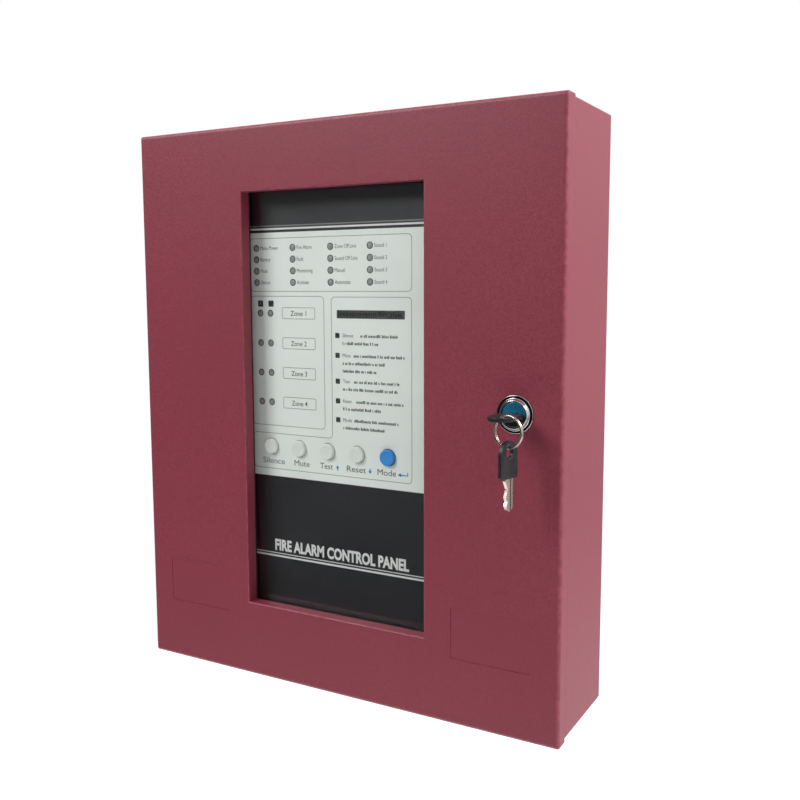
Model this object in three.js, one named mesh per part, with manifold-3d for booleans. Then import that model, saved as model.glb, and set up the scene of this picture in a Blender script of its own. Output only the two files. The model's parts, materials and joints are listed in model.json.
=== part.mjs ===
// Wall-mounted fire alarm control panel: a folded steel box with a hinged, keyed door,
// a glazed window in the door, and the operator panel, boards and batteries inside.
// Millimetres. +X right, +Y into the wall, +Z up. The origin is the middle of the wall face.
import * as THREE from 'three';
import { mergeVertices } from 'three/addons/utils/BufferGeometryUtils.js';
import Module from 'manifold-3d';

const wasm = await Module();
wasm.setup();

// ---------- driving dimensions ----------
const PANEL_W = 320;            // door outline
const PANEL_H = 380;
const PANEL_D = 83;             // wall to door front
const SHEET = 1.2;              // steel of the door and the box
const FIT = 0.3;                // gap between touching pieces
const FRONT = -PANEL_D;         // y of the door's front face

const DOOR_DEPTH = 11;          // pan depth of the door
const DOOR_BEND = 2.5;          // outer radius of the door's folded edges
const DOOR_SEAM = 1;            // gap between the door pan and the box
const CORNER_R = 2;             // welded and ground corners, seen from the front

const BOX_INSET = 1;            // the box sits this far inside the door outline
const BOX_BEND = 4;             // outer radius of the box's rear edges
const LIP_W = 12;               // inward lip round the box mouth
const BOX_FRONT = FRONT + DOOR_DEPTH + DOOR_SEAM;
const BOX_W = PANEL_W - 2 * BOX_INSET;
const BOX_H = PANEL_H - 2 * BOX_INSET;
const WALL_IN = -SHEET;         // inner face of the rear wall

const WINDOW_W = 139.4;         // opening in the door
const WINDOW_H = 284.5;
const WINDOW_Z = 4.7;           // its middle
const REVEAL = 9;               // depth of the folded edge round the opening
const SEAL_T = 0.8;             // rubber seal between the opening's edge and the pane
const SEAL_W = 5;
const PANE_T = 1.8;
const PANE_LAP = 6;             // how far the pane reaches past the opening
const PANE_FRONT = FRONT + REVEAL + FIT + SEAL_T + FIT;
const PANE_BACK = PANE_FRONT + PANE_T;

const CLIP_W = 20;              // bent strips that hold the pane
const CLIP_T = 1.2;
const CLIP_FOOT = 11;
const CLIP_TIP = 4;
const CLIP_HEIGHTS = [95, -85];

const LABEL_W = 53;             // two shallow blank label recesses low on the door
const LABEL_H = 32.5;
const LABEL_X = 115;
const LABEL_Z = -131;
const LABEL_DEPTH = 0.5;

const HINGE_X = -163.5;         // door hinge axis, outside the left wall
const HINGE_Y = BOX_FRONT - 0.5;
const HINGE_Z = 130;            // middle of each hinge, above and below the centre
const HINGE_H = 50;
const KNUCKLE_R = 2.7;
const HINGE_PIN_R = 1.4;
const LEAF_T = 1.2;

const LOCK_X = 130.4;           // lock axis
const LOCK_Z = 8.9;
const LOCK_FLANGE_R = 11.4;
const LOCK_RIM_R = 9.2;
const LOCK_RIM_IN_R = 7.8;
const LOCK_THREAD_R = 8;
const LOCK_BORE_R = 6.3;
const LOCK_PROUD = 3;           // rim height over the door
const LOCK_BACK = FRONT + 18;   // rear end of the lock housing
const LIP_BACK = BOX_FRONT + SHEET;
const PLUG_R = 6;
const PLUG_FACE_R = 7.4;
const PLUG_FACE = FRONT - LOCK_PROUD + 0.4;   // y of the plug's face
const NUT_R = 13;
const NUT_T = 4;
const SCREW_R = 1.5;            // cam screw thread
const SCREW_HEAD_R = 4.6;
const CAM_T = 2;
const CAM_REACH = 24;           // lock axis to cam tip
const CAM_W = 14;
const CAM_SQUARE = 7;
const CAM_BEND = 11;            // lock axis to the step that brings the tip up to the lip
const CAM_GAP = 0.5;            // play between the cam tip and the lip

const KEY_W = 16;               // plastic key head
const KEY_L = 21.6;
const KEY_T = 2.4;
const KEY_HOLE_R = 3.4;
const KEY_HOLE_IN = 6.55;       // head tip to the middle of its hole
const KEY_NECK_W = 11;
const KEY_BLADE_W = 7.5;
const KEY_BLADE_T = 2;
const KEY_BLADE_L = 19;
const KEY_TIP = FRONT - 28.3;   // y of the inserted key's head tip

const RING_R = 9.06;            // middle of the split ring's wire
const RING_WIRE = 1.2;          // radial thickness
const RING_BAND = 2.2;          // width along the ring's axis
const RING_DROP = 48;           // degrees below level from the key hole to the ring centre
const RING_TWIST = -12;         // degrees the ring is turned about the vertical
const RING_SHIFT = -0.4;        // where the ring passes the key hole, from the key's middle

const OVERLAY_FACE = FRONT + 16;      // printed front sheet behind the pane
const OVERLAY_T = 0.4;
const OVERLAY_W = 168;
const OVERLAY_H = 298;
const PLATE_X = -10;            // middle of the operator panel
const PLATE_Z = 4.7;
const PLATE_W = 176;
const PLATE_H = 304;
const PLATE_T = 1.2;
const PLATE_FRONT = OVERLAY_FACE + OVERLAY_T + FIT;
const PLATE_BACK = PLATE_FRONT + PLATE_T;
const LEG_BOTTOM = -104;        // the plate's side legs end above the batteries
const FOOT_W = 14;

const LIGHT_R = 2.2;            // light guide rods
const STATUS_X = -69;           // first column of status lights
const STATUS_DX = 30.55;
const STATUS_Z = 109.6;         // first row
const STATUS_DZ = 7.8;
const STATUS_N = 4;             // four columns of four
const ZONE_X = -66.5;           // the pair of lights for each zone
const ZONE_DX = 8.6;
const ZONE_Z = 65.2;
const ZONE_DZ = 20.5;
const ZONE_N = 4;

const BUTTON_NAMES = ['silence', 'mute', 'test', 'reset', 'mode'];
const BUTTON_X = -58.5;
const BUTTON_DX = 23.5;
const BUTTON_Z = -27.5;
const BUTTON_R = 5.4;
const BUTTON_HOLE_R = 5.8;
const BUTTON_PROUD = 2.4;
const BUTTON_SKIRT_R = 6.8;
const BUTTON_TRAVEL = 0.6;
const SWITCH_W = 6;
const SWITCH_H = 3;             // board to the switch's plunger

const BOARD_T = 1.6;
const DISPLAY_FRONT = PLATE_BACK + 10.1;
const DISPLAY_W = 156;
const DISPLAY_TOP = 130;
const DISPLAY_BOTTOM = -42;

const MAIN_X = -10;
const MAIN_W = 140;
const MAIN_TOP = 130;
const MAIN_BOTTOM = -30;
const MAIN_BACK = WALL_IN - 6.7;
const MAIN_FRONT = MAIN_BACK - BOARD_T;
const TERMINAL_WAYS = 12;
const TERMINAL_PITCH = 10;
const RELAY_AT = [-50, 8];      // x and z of the parts on the main board
const FUSE_AT = [25, 8];
const SOUNDER_AT = [30, 95];
const RIBBON_X = -50;
const RIBBON_W = 18;
const RIBBON_T = 1;
const RIBBON_TOP = 60;          // height of its plug on the display board
const RIBBON_END = 70;          // and on the main board
const RIBBON_STEPS = 14;

const BATTERY_W = 97;           // 12 V 1.3 Ah sealed lead-acid block
const BATTERY_D = 43;
const BATTERY_H = 52;
const BATTERY_GAP = 6;
const BATTERY_FLOOR = -BOX_H / 2 + SHEET + FIT;
const BATTERY_BACK = WALL_IN - BOX_BEND;   // clear of the bend
const BATTERY_FRONT = BATTERY_BACK - BATTERY_D;
const BATTERY_TOP = BATTERY_FLOOR + BATTERY_H;
const BLADE_IN = 12;            // battery end to its terminal blade
const BLADE_Y = (BATTERY_BACK + BATTERY_FRONT) / 2;
const TAB_TOP = BATTERY_TOP + 9;
const STRAP_T = 1.5;
const STRAP_W = 16;
const STRAP_Z = BATTERY_FLOOR + 22;
const STRAP_FOOT = 13;
const CORE = { x0: 98, x1: 152, z0: -80, z1: -14, deep: 26 };   // transformer core

const KEYHOLE_X = 128;          // wall fixing holes: two keyholes above, two round holes below
const KEYHOLE_Z = 150;
const KEYHOLE_R = 2.4;
const KEYHOLE_HEAD_R = 4.5;
const KEYHOLE_DROP = 8;         // slot end to the middle of the wide part
const FIXING_R = 3;
const EARTH_X = -125;           // earthing stud
const EARTH_Z = -60;
const GROMMET_R = 11;           // cable entries in the top
const GROMMET_X = [-60, 60];
const GROMMET_Y = -38;

// ---------- finishes ----------
const RED_PAINT = { color: 0x8a2f41, roughness: 0.5, metalness: 0.0 };
const CHROME = { color: 0xd8dade, roughness: 0.12, metalness: 1.0 };
const ZINC = { color: 0xa9adb0, roughness: 0.38, metalness: 0.9 };
const NICKEL = { color: 0xc9b9a6, roughness: 0.25, metalness: 1.0 };
const BLUE_CAP = { color: 0x0c5f86, roughness: 0.2, metalness: 0.2 };
const BLACK_PLASTIC = { color: 0x1b1c1d, roughness: 0.45, metalness: 0.0 };
const RUBBER = { color: 0x151515, roughness: 0.8, metalness: 0.0 };
const CLEAR = { color: 0xe8eeee, roughness: 0.05, metalness: 0.0 };
const PRINT = { color: 0xcdd4cd, roughness: 0.4, metalness: 0.0 };
const SMOKE = { color: 0x5d645f, roughness: 0.3, metalness: 0.0 };
const WHITE_KEY = { color: 0xd5d9d3, roughness: 0.5, metalness: 0.0 };
const BLUE_KEY = { color: 0x3a7fc4, roughness: 0.5, metalness: 0.0 };
const GREEN_BOARD = { color: 0x1e5b38, roughness: 0.5, metalness: 0.0 };
const GREEN_BLOCK = { color: 0x2c8a4b, roughness: 0.5, metalness: 0.0 };
const CORE_STEEL = { color: 0x5c5a57, roughness: 0.6, metalness: 0.7 };
const COIL_TAPE = { color: 0xc9a23a, roughness: 0.6, metalness: 0.0 };
const BATTERY_CASE = { color: 0x2b2e31, roughness: 0.55, metalness: 0.0 };
const GREY_RIBBON = { color: 0x9a9da0, roughness: 0.6, metalness: 0.0 };
const RELAY_CASE = { color: 0x2458a6, roughness: 0.4, metalness: 0.0 };
const RED_WIRE = { color: 0xb01818, roughness: 0.5, metalness: 0.0 };
const BLACK_WIRE = { color: 0x161616, roughness: 0.5, metalness: 0.0 };

// ---------- shape helpers ----------
const group = new THREE.Group();
const rad = THREE.MathUtils.degToRad;

// A closed three.js geometry as a solid that can be joined and cut.
function solid(geometry) {
  const bare = geometry.clone();
  for (const name of Object.keys(bare.attributes)) {
    if (name !== 'position') bare.deleteAttribute(name);
  }
  const merged = mergeVertices(bare, 1e-4);
  return new wasm.Manifold(new wasm.Mesh({
    numProp: 3,
    vertProperties: Float32Array.from(merged.attributes.position.array),
    triVerts: Uint32Array.from(merged.index.array),
  }));
}

// A solid as a three.js geometry.
function geometryOf(shape) {
  const mesh = shape.getMesh();
  const geometry = new THREE.BufferGeometry();
  geometry.setAttribute('position', new THREE.BufferAttribute(mesh.vertProperties, 3));
  geometry.setIndex(new THREE.BufferAttribute(mesh.triVerts, 1));
  geometry.computeVertexNormals();
  return geometry;
}

// Adds one named piece to the model.
function piece(name, shape, finish, parent = group) {
  const geometry = shape.isBufferGeometry ? shape : geometryOf(shape);
  const mesh = new THREE.Mesh(geometry, new THREE.MeshStandardMaterial(finish));
  mesh.name = name;
  parent.add(mesh);
  return mesh;
}

// A block between two corners.
function block(x0, x1, y0, y1, z0, z1) {
  const geometry = new THREE.BoxGeometry(x1 - x0, y1 - y0, z1 - z0);
  geometry.translate((x0 + x1) / 2, (y0 + y1) / 2, (z0 + z1) / 2);
  return solid(geometry);
}

// A round bar along Y.
function barY(radius, y0, y1, x = 0, z = 0, sides = 16) {
  const geometry = new THREE.CylinderGeometry(radius, radius, y1 - y0, sides);
  geometry.translate(x, (y0 + y1) / 2, z);
  return solid(geometry);
}

// A round bar along Z.
function barZ(radius, z0, z1, x = 0, y = 0, sides = 16) {
  const geometry = new THREE.CylinderGeometry(radius, radius, z1 - z0, sides);
  geometry.rotateX(Math.PI / 2);
  geometry.translate(x, y, (z0 + z1) / 2);
  return solid(geometry);
}

// A closed outline seen from the front, pushed along Y from y0 to y1.
function slabY(shape, y0, y1, options = {}) {
  const geometry = new THREE.ExtrudeGeometry(shape, {
    depth: y1 - y0, bevelEnabled: false, curveSegments: 3, ...options,
  });
  geometry.rotateX(Math.PI / 2);
  geometry.translate(0, y1, 0);
  return solid(geometry);
}

// A profile of [radius, y] points turned round the Y axis.
function turned(profile, sides = 24) {
  const points = profile.map(([r, y]) => new THREE.Vector2(r, y));
  return solid(new THREE.LatheGeometry(points, sides));
}

// A rectangle with round corners, middle at (x, z).
function roundedRect(w, h, r, x = 0, z = 0) {
  const s = new THREE.Shape();
  s.absarc(x + w / 2 - r, z + h / 2 - r, r, 0, Math.PI / 2, false);
  s.absarc(x - w / 2 + r, z + h / 2 - r, r, Math.PI / 2, Math.PI, false);
  s.absarc(x - w / 2 + r, z - h / 2 + r, r, Math.PI, 1.5 * Math.PI, false);
  s.absarc(x + w / 2 - r, z - h / 2 + r, r, 1.5 * Math.PI, 2 * Math.PI, false);
  s.closePath();
  return s;
}

// A block with round corners and bent edges on both flat faces.
function pillow(w, h, corner, bend, y0, y1) {
  const core = roundedRect(w - 2 * bend, h - 2 * bend, Math.max(corner - bend, 0.3));
  const geometry = new THREE.ExtrudeGeometry(core, {
    depth: y1 - y0 - 2 * bend,
    bevelEnabled: true,
    bevelThickness: bend,
    bevelSize: bend,
    bevelSegments: 3,
    curveSegments: 3,
  });
  geometry.rotateX(Math.PI / 2);
  geometry.translate(0, y1 - bend, 0);
  return solid(geometry);
}

// A round wire or flat lead along a smooth route.
function lead(points, section, steps) {
  const route = new THREE.CatmullRomCurve3(points.map((p) => new THREE.Vector3(...p)));
  return solid(new THREE.ExtrudeGeometry(section, {
    steps, extrudePath: route, bevelEnabled: false, curveSegments: 2,
  }));
}

function circleShape(radius) {
  const s = new THREE.Shape();
  s.absarc(0, 0, radius, 0, 2 * Math.PI, false);
  return s;
}

function grid(countX, countZ, x0, dx, z0, dz) {
  const places = [];
  for (let i = 0; i < countX; i += 1) {
    for (let j = 0; j < countZ; j += 1) places.push([x0 + i * dx, z0 - j * dz]);
  }
  return places;
}

const statusPlaces = grid(STATUS_N, STATUS_N, STATUS_X, STATUS_DX, STATUS_Z, STATUS_DZ);
const zonePlaces = grid(2, ZONE_N, ZONE_X, ZONE_DX, ZONE_Z, ZONE_DZ);
const buttonPlaces = BUTTON_NAMES.map((name, i) => [BUTTON_X + i * BUTTON_DX, BUTTON_Z]);

// Cuts the round button holes of the operator panel through a sheet.
function withButtonHoles(sheet, y0, y1) {
  return buttonPlaces.reduce(
    (result, [x, z]) => result.subtract(barY(BUTTON_HOLE_R, y0 - 1, y1 + 1, x, z, 20)),
    sheet,
  );
}

// ---------- the box on the wall ----------
function keyholeCutter(x, z) {
  const head = barY(KEYHOLE_HEAD_R, WALL_IN - 1, 1, x, z - KEYHOLE_DROP, 16);
  const slot = block(x - KEYHOLE_R, x + KEYHOLE_R, WALL_IN - 1, 1, z - KEYHOLE_DROP, z);
  return head.add(slot).add(barY(KEYHOLE_R, WALL_IN - 1, 1, x, z, 12));
}

function backBox() {
  const extra = 10;
  const outer = pillow(BOX_W, BOX_H, CORNER_R, BOX_BEND, BOX_FRONT - extra, 0);
  const inner = pillow(
    BOX_W - 2 * SHEET, BOX_H - 2 * SHEET, CORNER_R, BOX_BEND - SHEET,
    BOX_FRONT - 2 * extra, WALL_IN,
  );
  const trim = block(-PANEL_W, PANEL_W, BOX_FRONT - 3 * extra, BOX_FRONT, -PANEL_H, PANEL_H);
  const lipOuter = slabY(
    roundedRect(BOX_W - SHEET, BOX_H - SHEET, CORNER_R), BOX_FRONT, BOX_FRONT + SHEET,
  );
  const mouth = slabY(
    roundedRect(BOX_W - 2 * LIP_W, BOX_H - 2 * LIP_W, 3), BOX_FRONT - 1, BOX_FRONT + SHEET + 1,
  );
  let shell = outer.subtract(inner).subtract(trim).add(lipOuter.subtract(mouth));
  for (const x of [-KEYHOLE_X, KEYHOLE_X]) {
    shell = shell.subtract(keyholeCutter(x, KEYHOLE_Z));
    shell = shell.subtract(barY(FIXING_R, WALL_IN - 1, 1, x, -KEYHOLE_Z, 16));
  }
  for (const x of GROMMET_X) {
    const hole = barZ(GROMMET_R, BOX_H / 2 - 3 * SHEET, BOX_H / 2 + 1, x, GROMMET_Y, 16);
    shell = shell.subtract(hole);
  }
  return shell;
}
piece('back_box', backBox(), RED_PAINT);

// A blanked rubber grommet pressed into a cable entry in the top of the box.
function grommet(x) {
  const top = BOX_H / 2;
  const core = barZ(GROMMET_R - FIT, top - SHEET - 1, top + 1, x, GROMMET_Y, 16);
  const outside = barZ(GROMMET_R + 2.5, top + FIT, top + 1.8, x, GROMMET_Y, 16);
  const inside = barZ(GROMMET_R + 2, top - SHEET - 1.6, top - SHEET - FIT, x, GROMMET_Y, 16);
  const dish = barZ(GROMMET_R - 3, top + 0.6, top + 3, x, GROMMET_Y, 16);
  return core.add(outside).add(inside).subtract(dish);
}
GROMMET_X.forEach((x, i) => piece(`cable_grommet_${i + 1}`, grommet(x), RUBBER));

// Earthing stud with its nut, welded inside the rear wall.
function earthStud() {
  const base = barY(5, WALL_IN - 2.8, WALL_IN - FIT, EARTH_X, EARTH_Z, 6);
  return base.add(barY(2, WALL_IN - 14, WALL_IN - 2, EARTH_X, EARTH_Z, 12));
}
piece('earth_stud', earthStud(), ZINC);

// ---------- the door ----------
const door = new THREE.Group();
door.position.set(HINGE_X, HINGE_Y, 0);
group.add(door);

// Door pieces are drawn in the panel's own frame, then hung on the hinge axis.
function doorPiece(name, shape, finish) {
  const geometry = geometryOf(shape);
  geometry.translate(-HINGE_X, -HINGE_Y, 0);
  return piece(name, geometry, finish, door);
}

function doorShell() {
  const rear = FRONT + DOOR_DEPTH;
  const extra = 10;
  const outer = pillow(PANEL_W, PANEL_H, CORNER_R, DOOR_BEND, FRONT, rear + extra);
  const inner = pillow(
    PANEL_W - 2 * SHEET, PANEL_H - 2 * SHEET, CORNER_R, DOOR_BEND - SHEET,
    FRONT + SHEET, rear + 2 * extra,
  );
  const trim = block(-PANEL_W, PANEL_W, rear, rear + 3 * extra, -PANEL_H, PANEL_H);
  const collar = slabY(
    roundedRect(WINDOW_W + 2 * SHEET, WINDOW_H + 2 * SHEET, 1.5, 0, WINDOW_Z),
    FRONT + SHEET / 2, FRONT + REVEAL,
  );
  const opening = slabY(
    roundedRect(WINDOW_W, WINDOW_H, 0.6, 0, WINDOW_Z), FRONT - 1, FRONT + REVEAL + 1,
  );
  let shell = outer.subtract(inner).subtract(trim).add(collar).subtract(opening);
  for (const x of [-LABEL_X, LABEL_X]) {
    shell = shell.subtract(block(
      x - LABEL_W / 2, x + LABEL_W / 2, FRONT - 1, FRONT + LABEL_DEPTH,
      LABEL_Z - LABEL_H / 2, LABEL_Z + LABEL_H / 2,
    ));
  }
  return shell.subtract(barY(LOCK_THREAD_R + FIT, FRONT - 1, FRONT + 3, LOCK_X, LOCK_Z, 24));
}
doorPiece('door_shell', doorShell(), RED_PAINT);

// A flat frame round the window, `reach` past the opening and `width` wide.
function windowFrame(reach, width, y0, y1) {
  const w = WINDOW_W + 2 * reach;
  const h = WINDOW_H + 2 * reach;
  const outside = slabY(roundedRect(w, h, 1.5, 0, WINDOW_Z), y0, y1);
  const inside = slabY(
    roundedRect(w - 2 * width, h - 2 * width, 1, 0, WINDOW_Z), y0 - 1, y1 + 1,
  );
  return outside.subtract(inside);
}
doorPiece(
  'pane_seal', windowFrame(SEAL_W, SEAL_W, FRONT + REVEAL + FIT, FRONT + REVEAL + FIT + SEAL_T),
  RUBBER,
);
doorPiece('window_pane', slabY(
  roundedRect(WINDOW_W + 2 * PANE_LAP, WINDOW_H + 2 * PANE_LAP, 1.5, 0, WINDOW_Z),
  PANE_FRONT, PANE_BACK,
), CLEAR);

// A bent strip that presses the pane on its seal: foot on the door, web, and tip.
function paneClip(side, z) {
  const inner = WINDOW_W / 2 + PANE_LAP + FIT;
  const seat = FRONT + SHEET + FIT;
  const tip = PANE_BACK + FIT;
  const parts = [
    [inner, inner + CLIP_T, seat, tip + CLIP_T],
    [inner, inner + CLIP_FOOT, seat, seat + CLIP_T],
    [inner - CLIP_TIP, inner + CLIP_T, tip, tip + CLIP_T],
  ];
  let clip = null;
  for (const [a, b, y0, y1] of parts) {
    const x0 = side > 0 ? a : -b;
    const x1 = side > 0 ? b : -a;
    const bar = block(x0, x1, y0, y1, z - CLIP_W / 2, z + CLIP_W / 2);
    clip = clip ? clip.add(bar) : bar;
  }
  return clip;
}
const clipPlaces = [-1, 1].flatMap((side) => CLIP_HEIGHTS.map((z) => [side, z]));
clipPlaces.forEach(([side, z], i) => {
  doorPiece(`pane_clip_${i + 1}`, paneClip(side, z), ZINC);
});

// ---------- hinges ----------
// The lower half of each barrel belongs to the box, the upper half to the door.
function barrel(z0, z1) {
  const hole = barZ(HINGE_PIN_R + FIT, z0 - 1, z1 + 1, HINGE_X, HINGE_Y, 12);
  return { shell: barZ(KNUCKLE_R, z0, z1, HINGE_X, HINGE_Y, 16), hole };
}

function boxLeaf(middle) {
  const z0 = middle - HINGE_H / 2;
  const z1 = middle - FIT / 2;
  const wall = -BOX_W / 2 - FIT;
  const { shell, hole } = barrel(z0, z1);
  const leaf = block(wall - LEAF_T, wall, HINGE_Y + 3, HINGE_Y + 26, z0, middle + HINGE_H / 2);
  const arm = block(HINGE_X - 0.6, wall, HINGE_Y + 1.4, HINGE_Y + 3.4, z0, z1);
  const root = block(wall - LEAF_T, wall, HINGE_Y + 1.4, HINGE_Y + 4, z0, z1);
  return shell.add(arm).add(leaf).add(root).subtract(hole);
}

function doorLeaf(middle) {
  const z0 = middle + FIT / 2;
  const z1 = middle + HINGE_H / 2;
  const wall = -PANEL_W / 2 - FIT;
  const { shell, hole } = barrel(z0, z1);
  const leaf = block(
    wall - LEAF_T, wall, FRONT + DOOR_BEND + 0.5, HINGE_Y - 3.1, middle - HINGE_H / 2, z1,
  );
  const arm = block(HINGE_X - 0.6, wall, HINGE_Y - 3.6, HINGE_Y - 1.2, z0, z1);
  return shell.add(leaf).add(arm).subtract(hole);
}

function hingePin(middle) {
  const pin = barZ(
    HINGE_PIN_R, middle - HINGE_H / 2 + 1, middle + HINGE_H / 2, HINGE_X, HINGE_Y, 12,
  );
  const top = middle + HINGE_H / 2 + FIT;
  return pin.add(barZ(KNUCKLE_R, top, top + 1.6, HINGE_X, HINGE_Y, 16))
    .add(barZ(HINGE_PIN_R, middle, top + 1, HINGE_X, HINGE_Y, 12));
}

for (const [word, middle] of [['upper', HINGE_Z], ['lower', -HINGE_Z]]) {
  piece(`${word}_hinge_box_leaf`, boxLeaf(middle), ZINC);
  piece(`${word}_hinge_pin`, hingePin(middle), ZINC);
  doorPiece(`${word}_hinge_door_leaf`, doorLeaf(middle), ZINC);
}

// ---------- cam lock ----------
// Lock pieces are drawn about the lock axis, with y in the panel's own frame.
const lock = new THREE.Group();
lock.position.set(LOCK_X - HINGE_X, -HINGE_Y, LOCK_Z);
door.add(lock);

function lockPiece(name, shape, finish) {
  return piece(name, shape, finish, lock);
}

function lockHousing() {
  const seat = FRONT - FIT;
  const rim = FRONT - LOCK_PROUD;
  return turned([
    [LOCK_BORE_R, rim + 1.4], [LOCK_RIM_IN_R, rim + 1.4], [LOCK_RIM_IN_R, rim + 0.3],
    [LOCK_RIM_IN_R + 0.3, rim], [LOCK_RIM_R - 0.4, rim], [LOCK_RIM_R, rim + 0.2],
    [LOCK_RIM_R + 0.4, rim + 0.7], [LOCK_FLANGE_R, seat - 0.5], [LOCK_FLANGE_R, seat],
    [LOCK_THREAD_R, seat], [LOCK_THREAD_R, LOCK_BACK], [LOCK_BORE_R, LOCK_BACK],
    [LOCK_BORE_R, rim + 1.4],
  ], 32);
}
lockPiece('lock_housing', lockHousing(), CHROME);

function lockNut() {
  const y0 = FRONT + SHEET + FIT;
  const hex = barY(NUT_R, y0, y0 + NUT_T, 0, 0, 6);
  return hex.subtract(barY(LOCK_THREAD_R + FIT, y0 - 1, y0 + NUT_T + 1, 0, 0, 24));
}
lockPiece('lock_nut', lockNut(), ZINC);

const CAM_FRONT = LOCK_BACK + 0.5;
const CAM_BACK = CAM_FRONT + CAM_T;

function lockPlug() {
  const face = PLUG_FACE;
  const body = turned([
    [0, face], [PLUG_FACE_R - 0.4, face], [PLUG_FACE_R, face + 0.3], [PLUG_FACE_R, face + 0.7],
    [PLUG_R, face + 0.7], [PLUG_R, CAM_FRONT - FIT], [0, CAM_FRONT - FIT],
  ]);
  const half = CAM_SQUARE / 2 - FIT;
  const square = block(-half, half, CAM_FRONT - 1, CAM_BACK - FIT, -half, half);
  const keyway = block(
    -KEY_BLADE_W / 2 - FIT, KEY_BLADE_W / 2 + FIT, face - 1, face + KEY_BLADE_L,
    -KEY_BLADE_T / 2 - FIT, KEY_BLADE_T / 2 + FIT,
  );
  const screwHole = barY(SCREW_R, CAM_BACK - 3, CAM_BACK + 1, 0, 0, 12);
  return body.add(square).subtract(keyway).subtract(screwHole);
}
lockPiece('lock_plug', lockPlug(), BLUE_CAP);

// The cam points up when the door is free and swings behind the box lip to lock it. A step
// brings its tip forward, close behind the lip.
function lockCam() {
  const s = new THREE.Shape();
  s.absarc(0, 0, CAM_W / 2, Math.PI, 2 * Math.PI, false);
  s.lineTo(CAM_W / 2, CAM_BEND + CAM_T);
  s.lineTo(-CAM_W / 2, CAM_BEND + CAM_T);
  s.closePath();
  const half = CAM_SQUARE / 2;
  const tipFront = LIP_BACK + CAM_GAP;
  return slabY(s, CAM_FRONT, CAM_BACK, { curveSegments: 8 })
    .add(block(-CAM_W / 2, CAM_W / 2, tipFront, CAM_BACK, CAM_BEND, CAM_BEND + CAM_T))
    .add(block(-CAM_W / 2, CAM_W / 2, tipFront, tipFront + CAM_T, CAM_BEND, CAM_REACH))
    .subtract(block(-half, half, CAM_FRONT - 1, CAM_BACK + 1, -half, half));
}
lockPiece('lock_cam', lockCam(), ZINC);

function camScrew() {
  const head = barY(SCREW_HEAD_R, CAM_BACK + FIT, CAM_BACK + 2.4, 0, 0, 16);
  const slot = block(-5, 5, CAM_BACK + 1.6, CAM_BACK + 4, -0.5, 0.5);
  return head.add(barY(SCREW_R - FIT, CAM_BACK - 2.6, CAM_BACK + 1, 0, 0, 12)).subtract(slot);
}
lockPiece('cam_screw', camScrew(), ZINC);

// ---------- keys ----------
// A key head lies flat with its tip at the origin and its neck towards +Y.
function keyHead(neck) {
  const s = new THREE.Shape();
  s.absarc(0, KEY_W / 2, KEY_W / 2, Math.PI, 2 * Math.PI, false);
  s.lineTo(KEY_W / 2, KEY_L - 1.5);
  s.lineTo(KEY_W / 2 - 1.5, KEY_L);
  s.lineTo(KEY_NECK_W / 2, KEY_L);
  s.lineTo(KEY_NECK_W / 2, KEY_L + neck);
  s.lineTo(-KEY_NECK_W / 2, KEY_L + neck);
  s.lineTo(-KEY_NECK_W / 2, KEY_L);
  s.lineTo(-KEY_W / 2 + 1.5, KEY_L);
  s.lineTo(-KEY_W / 2, KEY_L - 1.5);
  s.closePath();
  const plate = new THREE.ExtrudeGeometry(s, {
    depth: KEY_T, bevelEnabled: false, curveSegments: 12,
  });
  plate.translate(0, 0, -KEY_T / 2);
  return solid(plate)
    .subtract(barZ(KEY_HOLE_R, -KEY_T, KEY_T, 0, KEY_HOLE_IN, 16));
}

// A key blade starts at the origin and runs along +Y, with its cuts on the -X edge.
function keyBlade(root) {
  const s = new THREE.Shape();
  const w = KEY_BLADE_W / 2;
  const tooth = KEY_BLADE_L / 8;
  const cuts = [0.9, 2.1, 0.7, 1.6, 2.4, 1.2];
  s.moveTo(w, -root);
  s.lineTo(w, KEY_BLADE_L - 2);
  s.lineTo(0.4, KEY_BLADE_L);
  s.lineTo(-w + 2.2, KEY_BLADE_L - 1.4);
  cuts.forEach((cut, i) => s.lineTo(-w + cut, KEY_BLADE_L - (i + 1.6) * tooth));
  s.lineTo(-w, 1);
  s.lineTo(-w, -root);
  s.closePath();
  const blade = new THREE.ExtrudeGeometry(s, { depth: KEY_BLADE_T, bevelEnabled: false });
  blade.translate(0, 0, -KEY_BLADE_T / 2);
  return solid(blade);
}

// The blade's root is held in a slot in the head's neck end.
const ROOT_DEPTH = 3;
function headWithSlot(neck) {
  const end = KEY_L + neck;
  const w = KEY_BLADE_W / 2 + FIT;
  const t = 0.7 + FIT;
  return keyHead(neck).subtract(block(-w, w, end - ROOT_DEPTH - FIT, end + 1, -t, t));
}
function bladeWithTang() {
  const tang = block(-KEY_BLADE_W, KEY_BLADE_W, -ROOT_DEPTH - 1, -FIT, 0.7, 2);
  const under = block(-KEY_BLADE_W, KEY_BLADE_W, -ROOT_DEPTH - 1, -FIT, -2, -0.7);
  return keyBlade(ROOT_DEPTH).subtract(tang).subtract(under);
}

const NECK = PLUG_FACE - 0.6 - (KEY_TIP + KEY_L);
const key = new THREE.Group();
key.position.set(0, KEY_TIP, 0);
lock.add(key);
piece('key_head', headWithSlot(NECK), BLACK_PLASTIC, key);
const insertedBlade = piece('key_blade', bladeWithTang(), NICKEL, key);
insertedBlade.position.set(0, KEY_L + NECK, 0);

// Middle of the split ring, hung through the inserted key's hole round the head's right edge.
const ringDirection = new THREE.Vector3(Math.cos(rad(RING_TWIST)), Math.sin(rad(RING_TWIST)), 0);
const ringMiddle = new THREE.Vector3(RING_SHIFT, KEY_HOLE_IN, 0)
  .addScaledVector(ringDirection, RING_R * Math.cos(rad(RING_DROP)));
ringMiddle.z = -RING_R * Math.sin(rad(RING_DROP));

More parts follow.
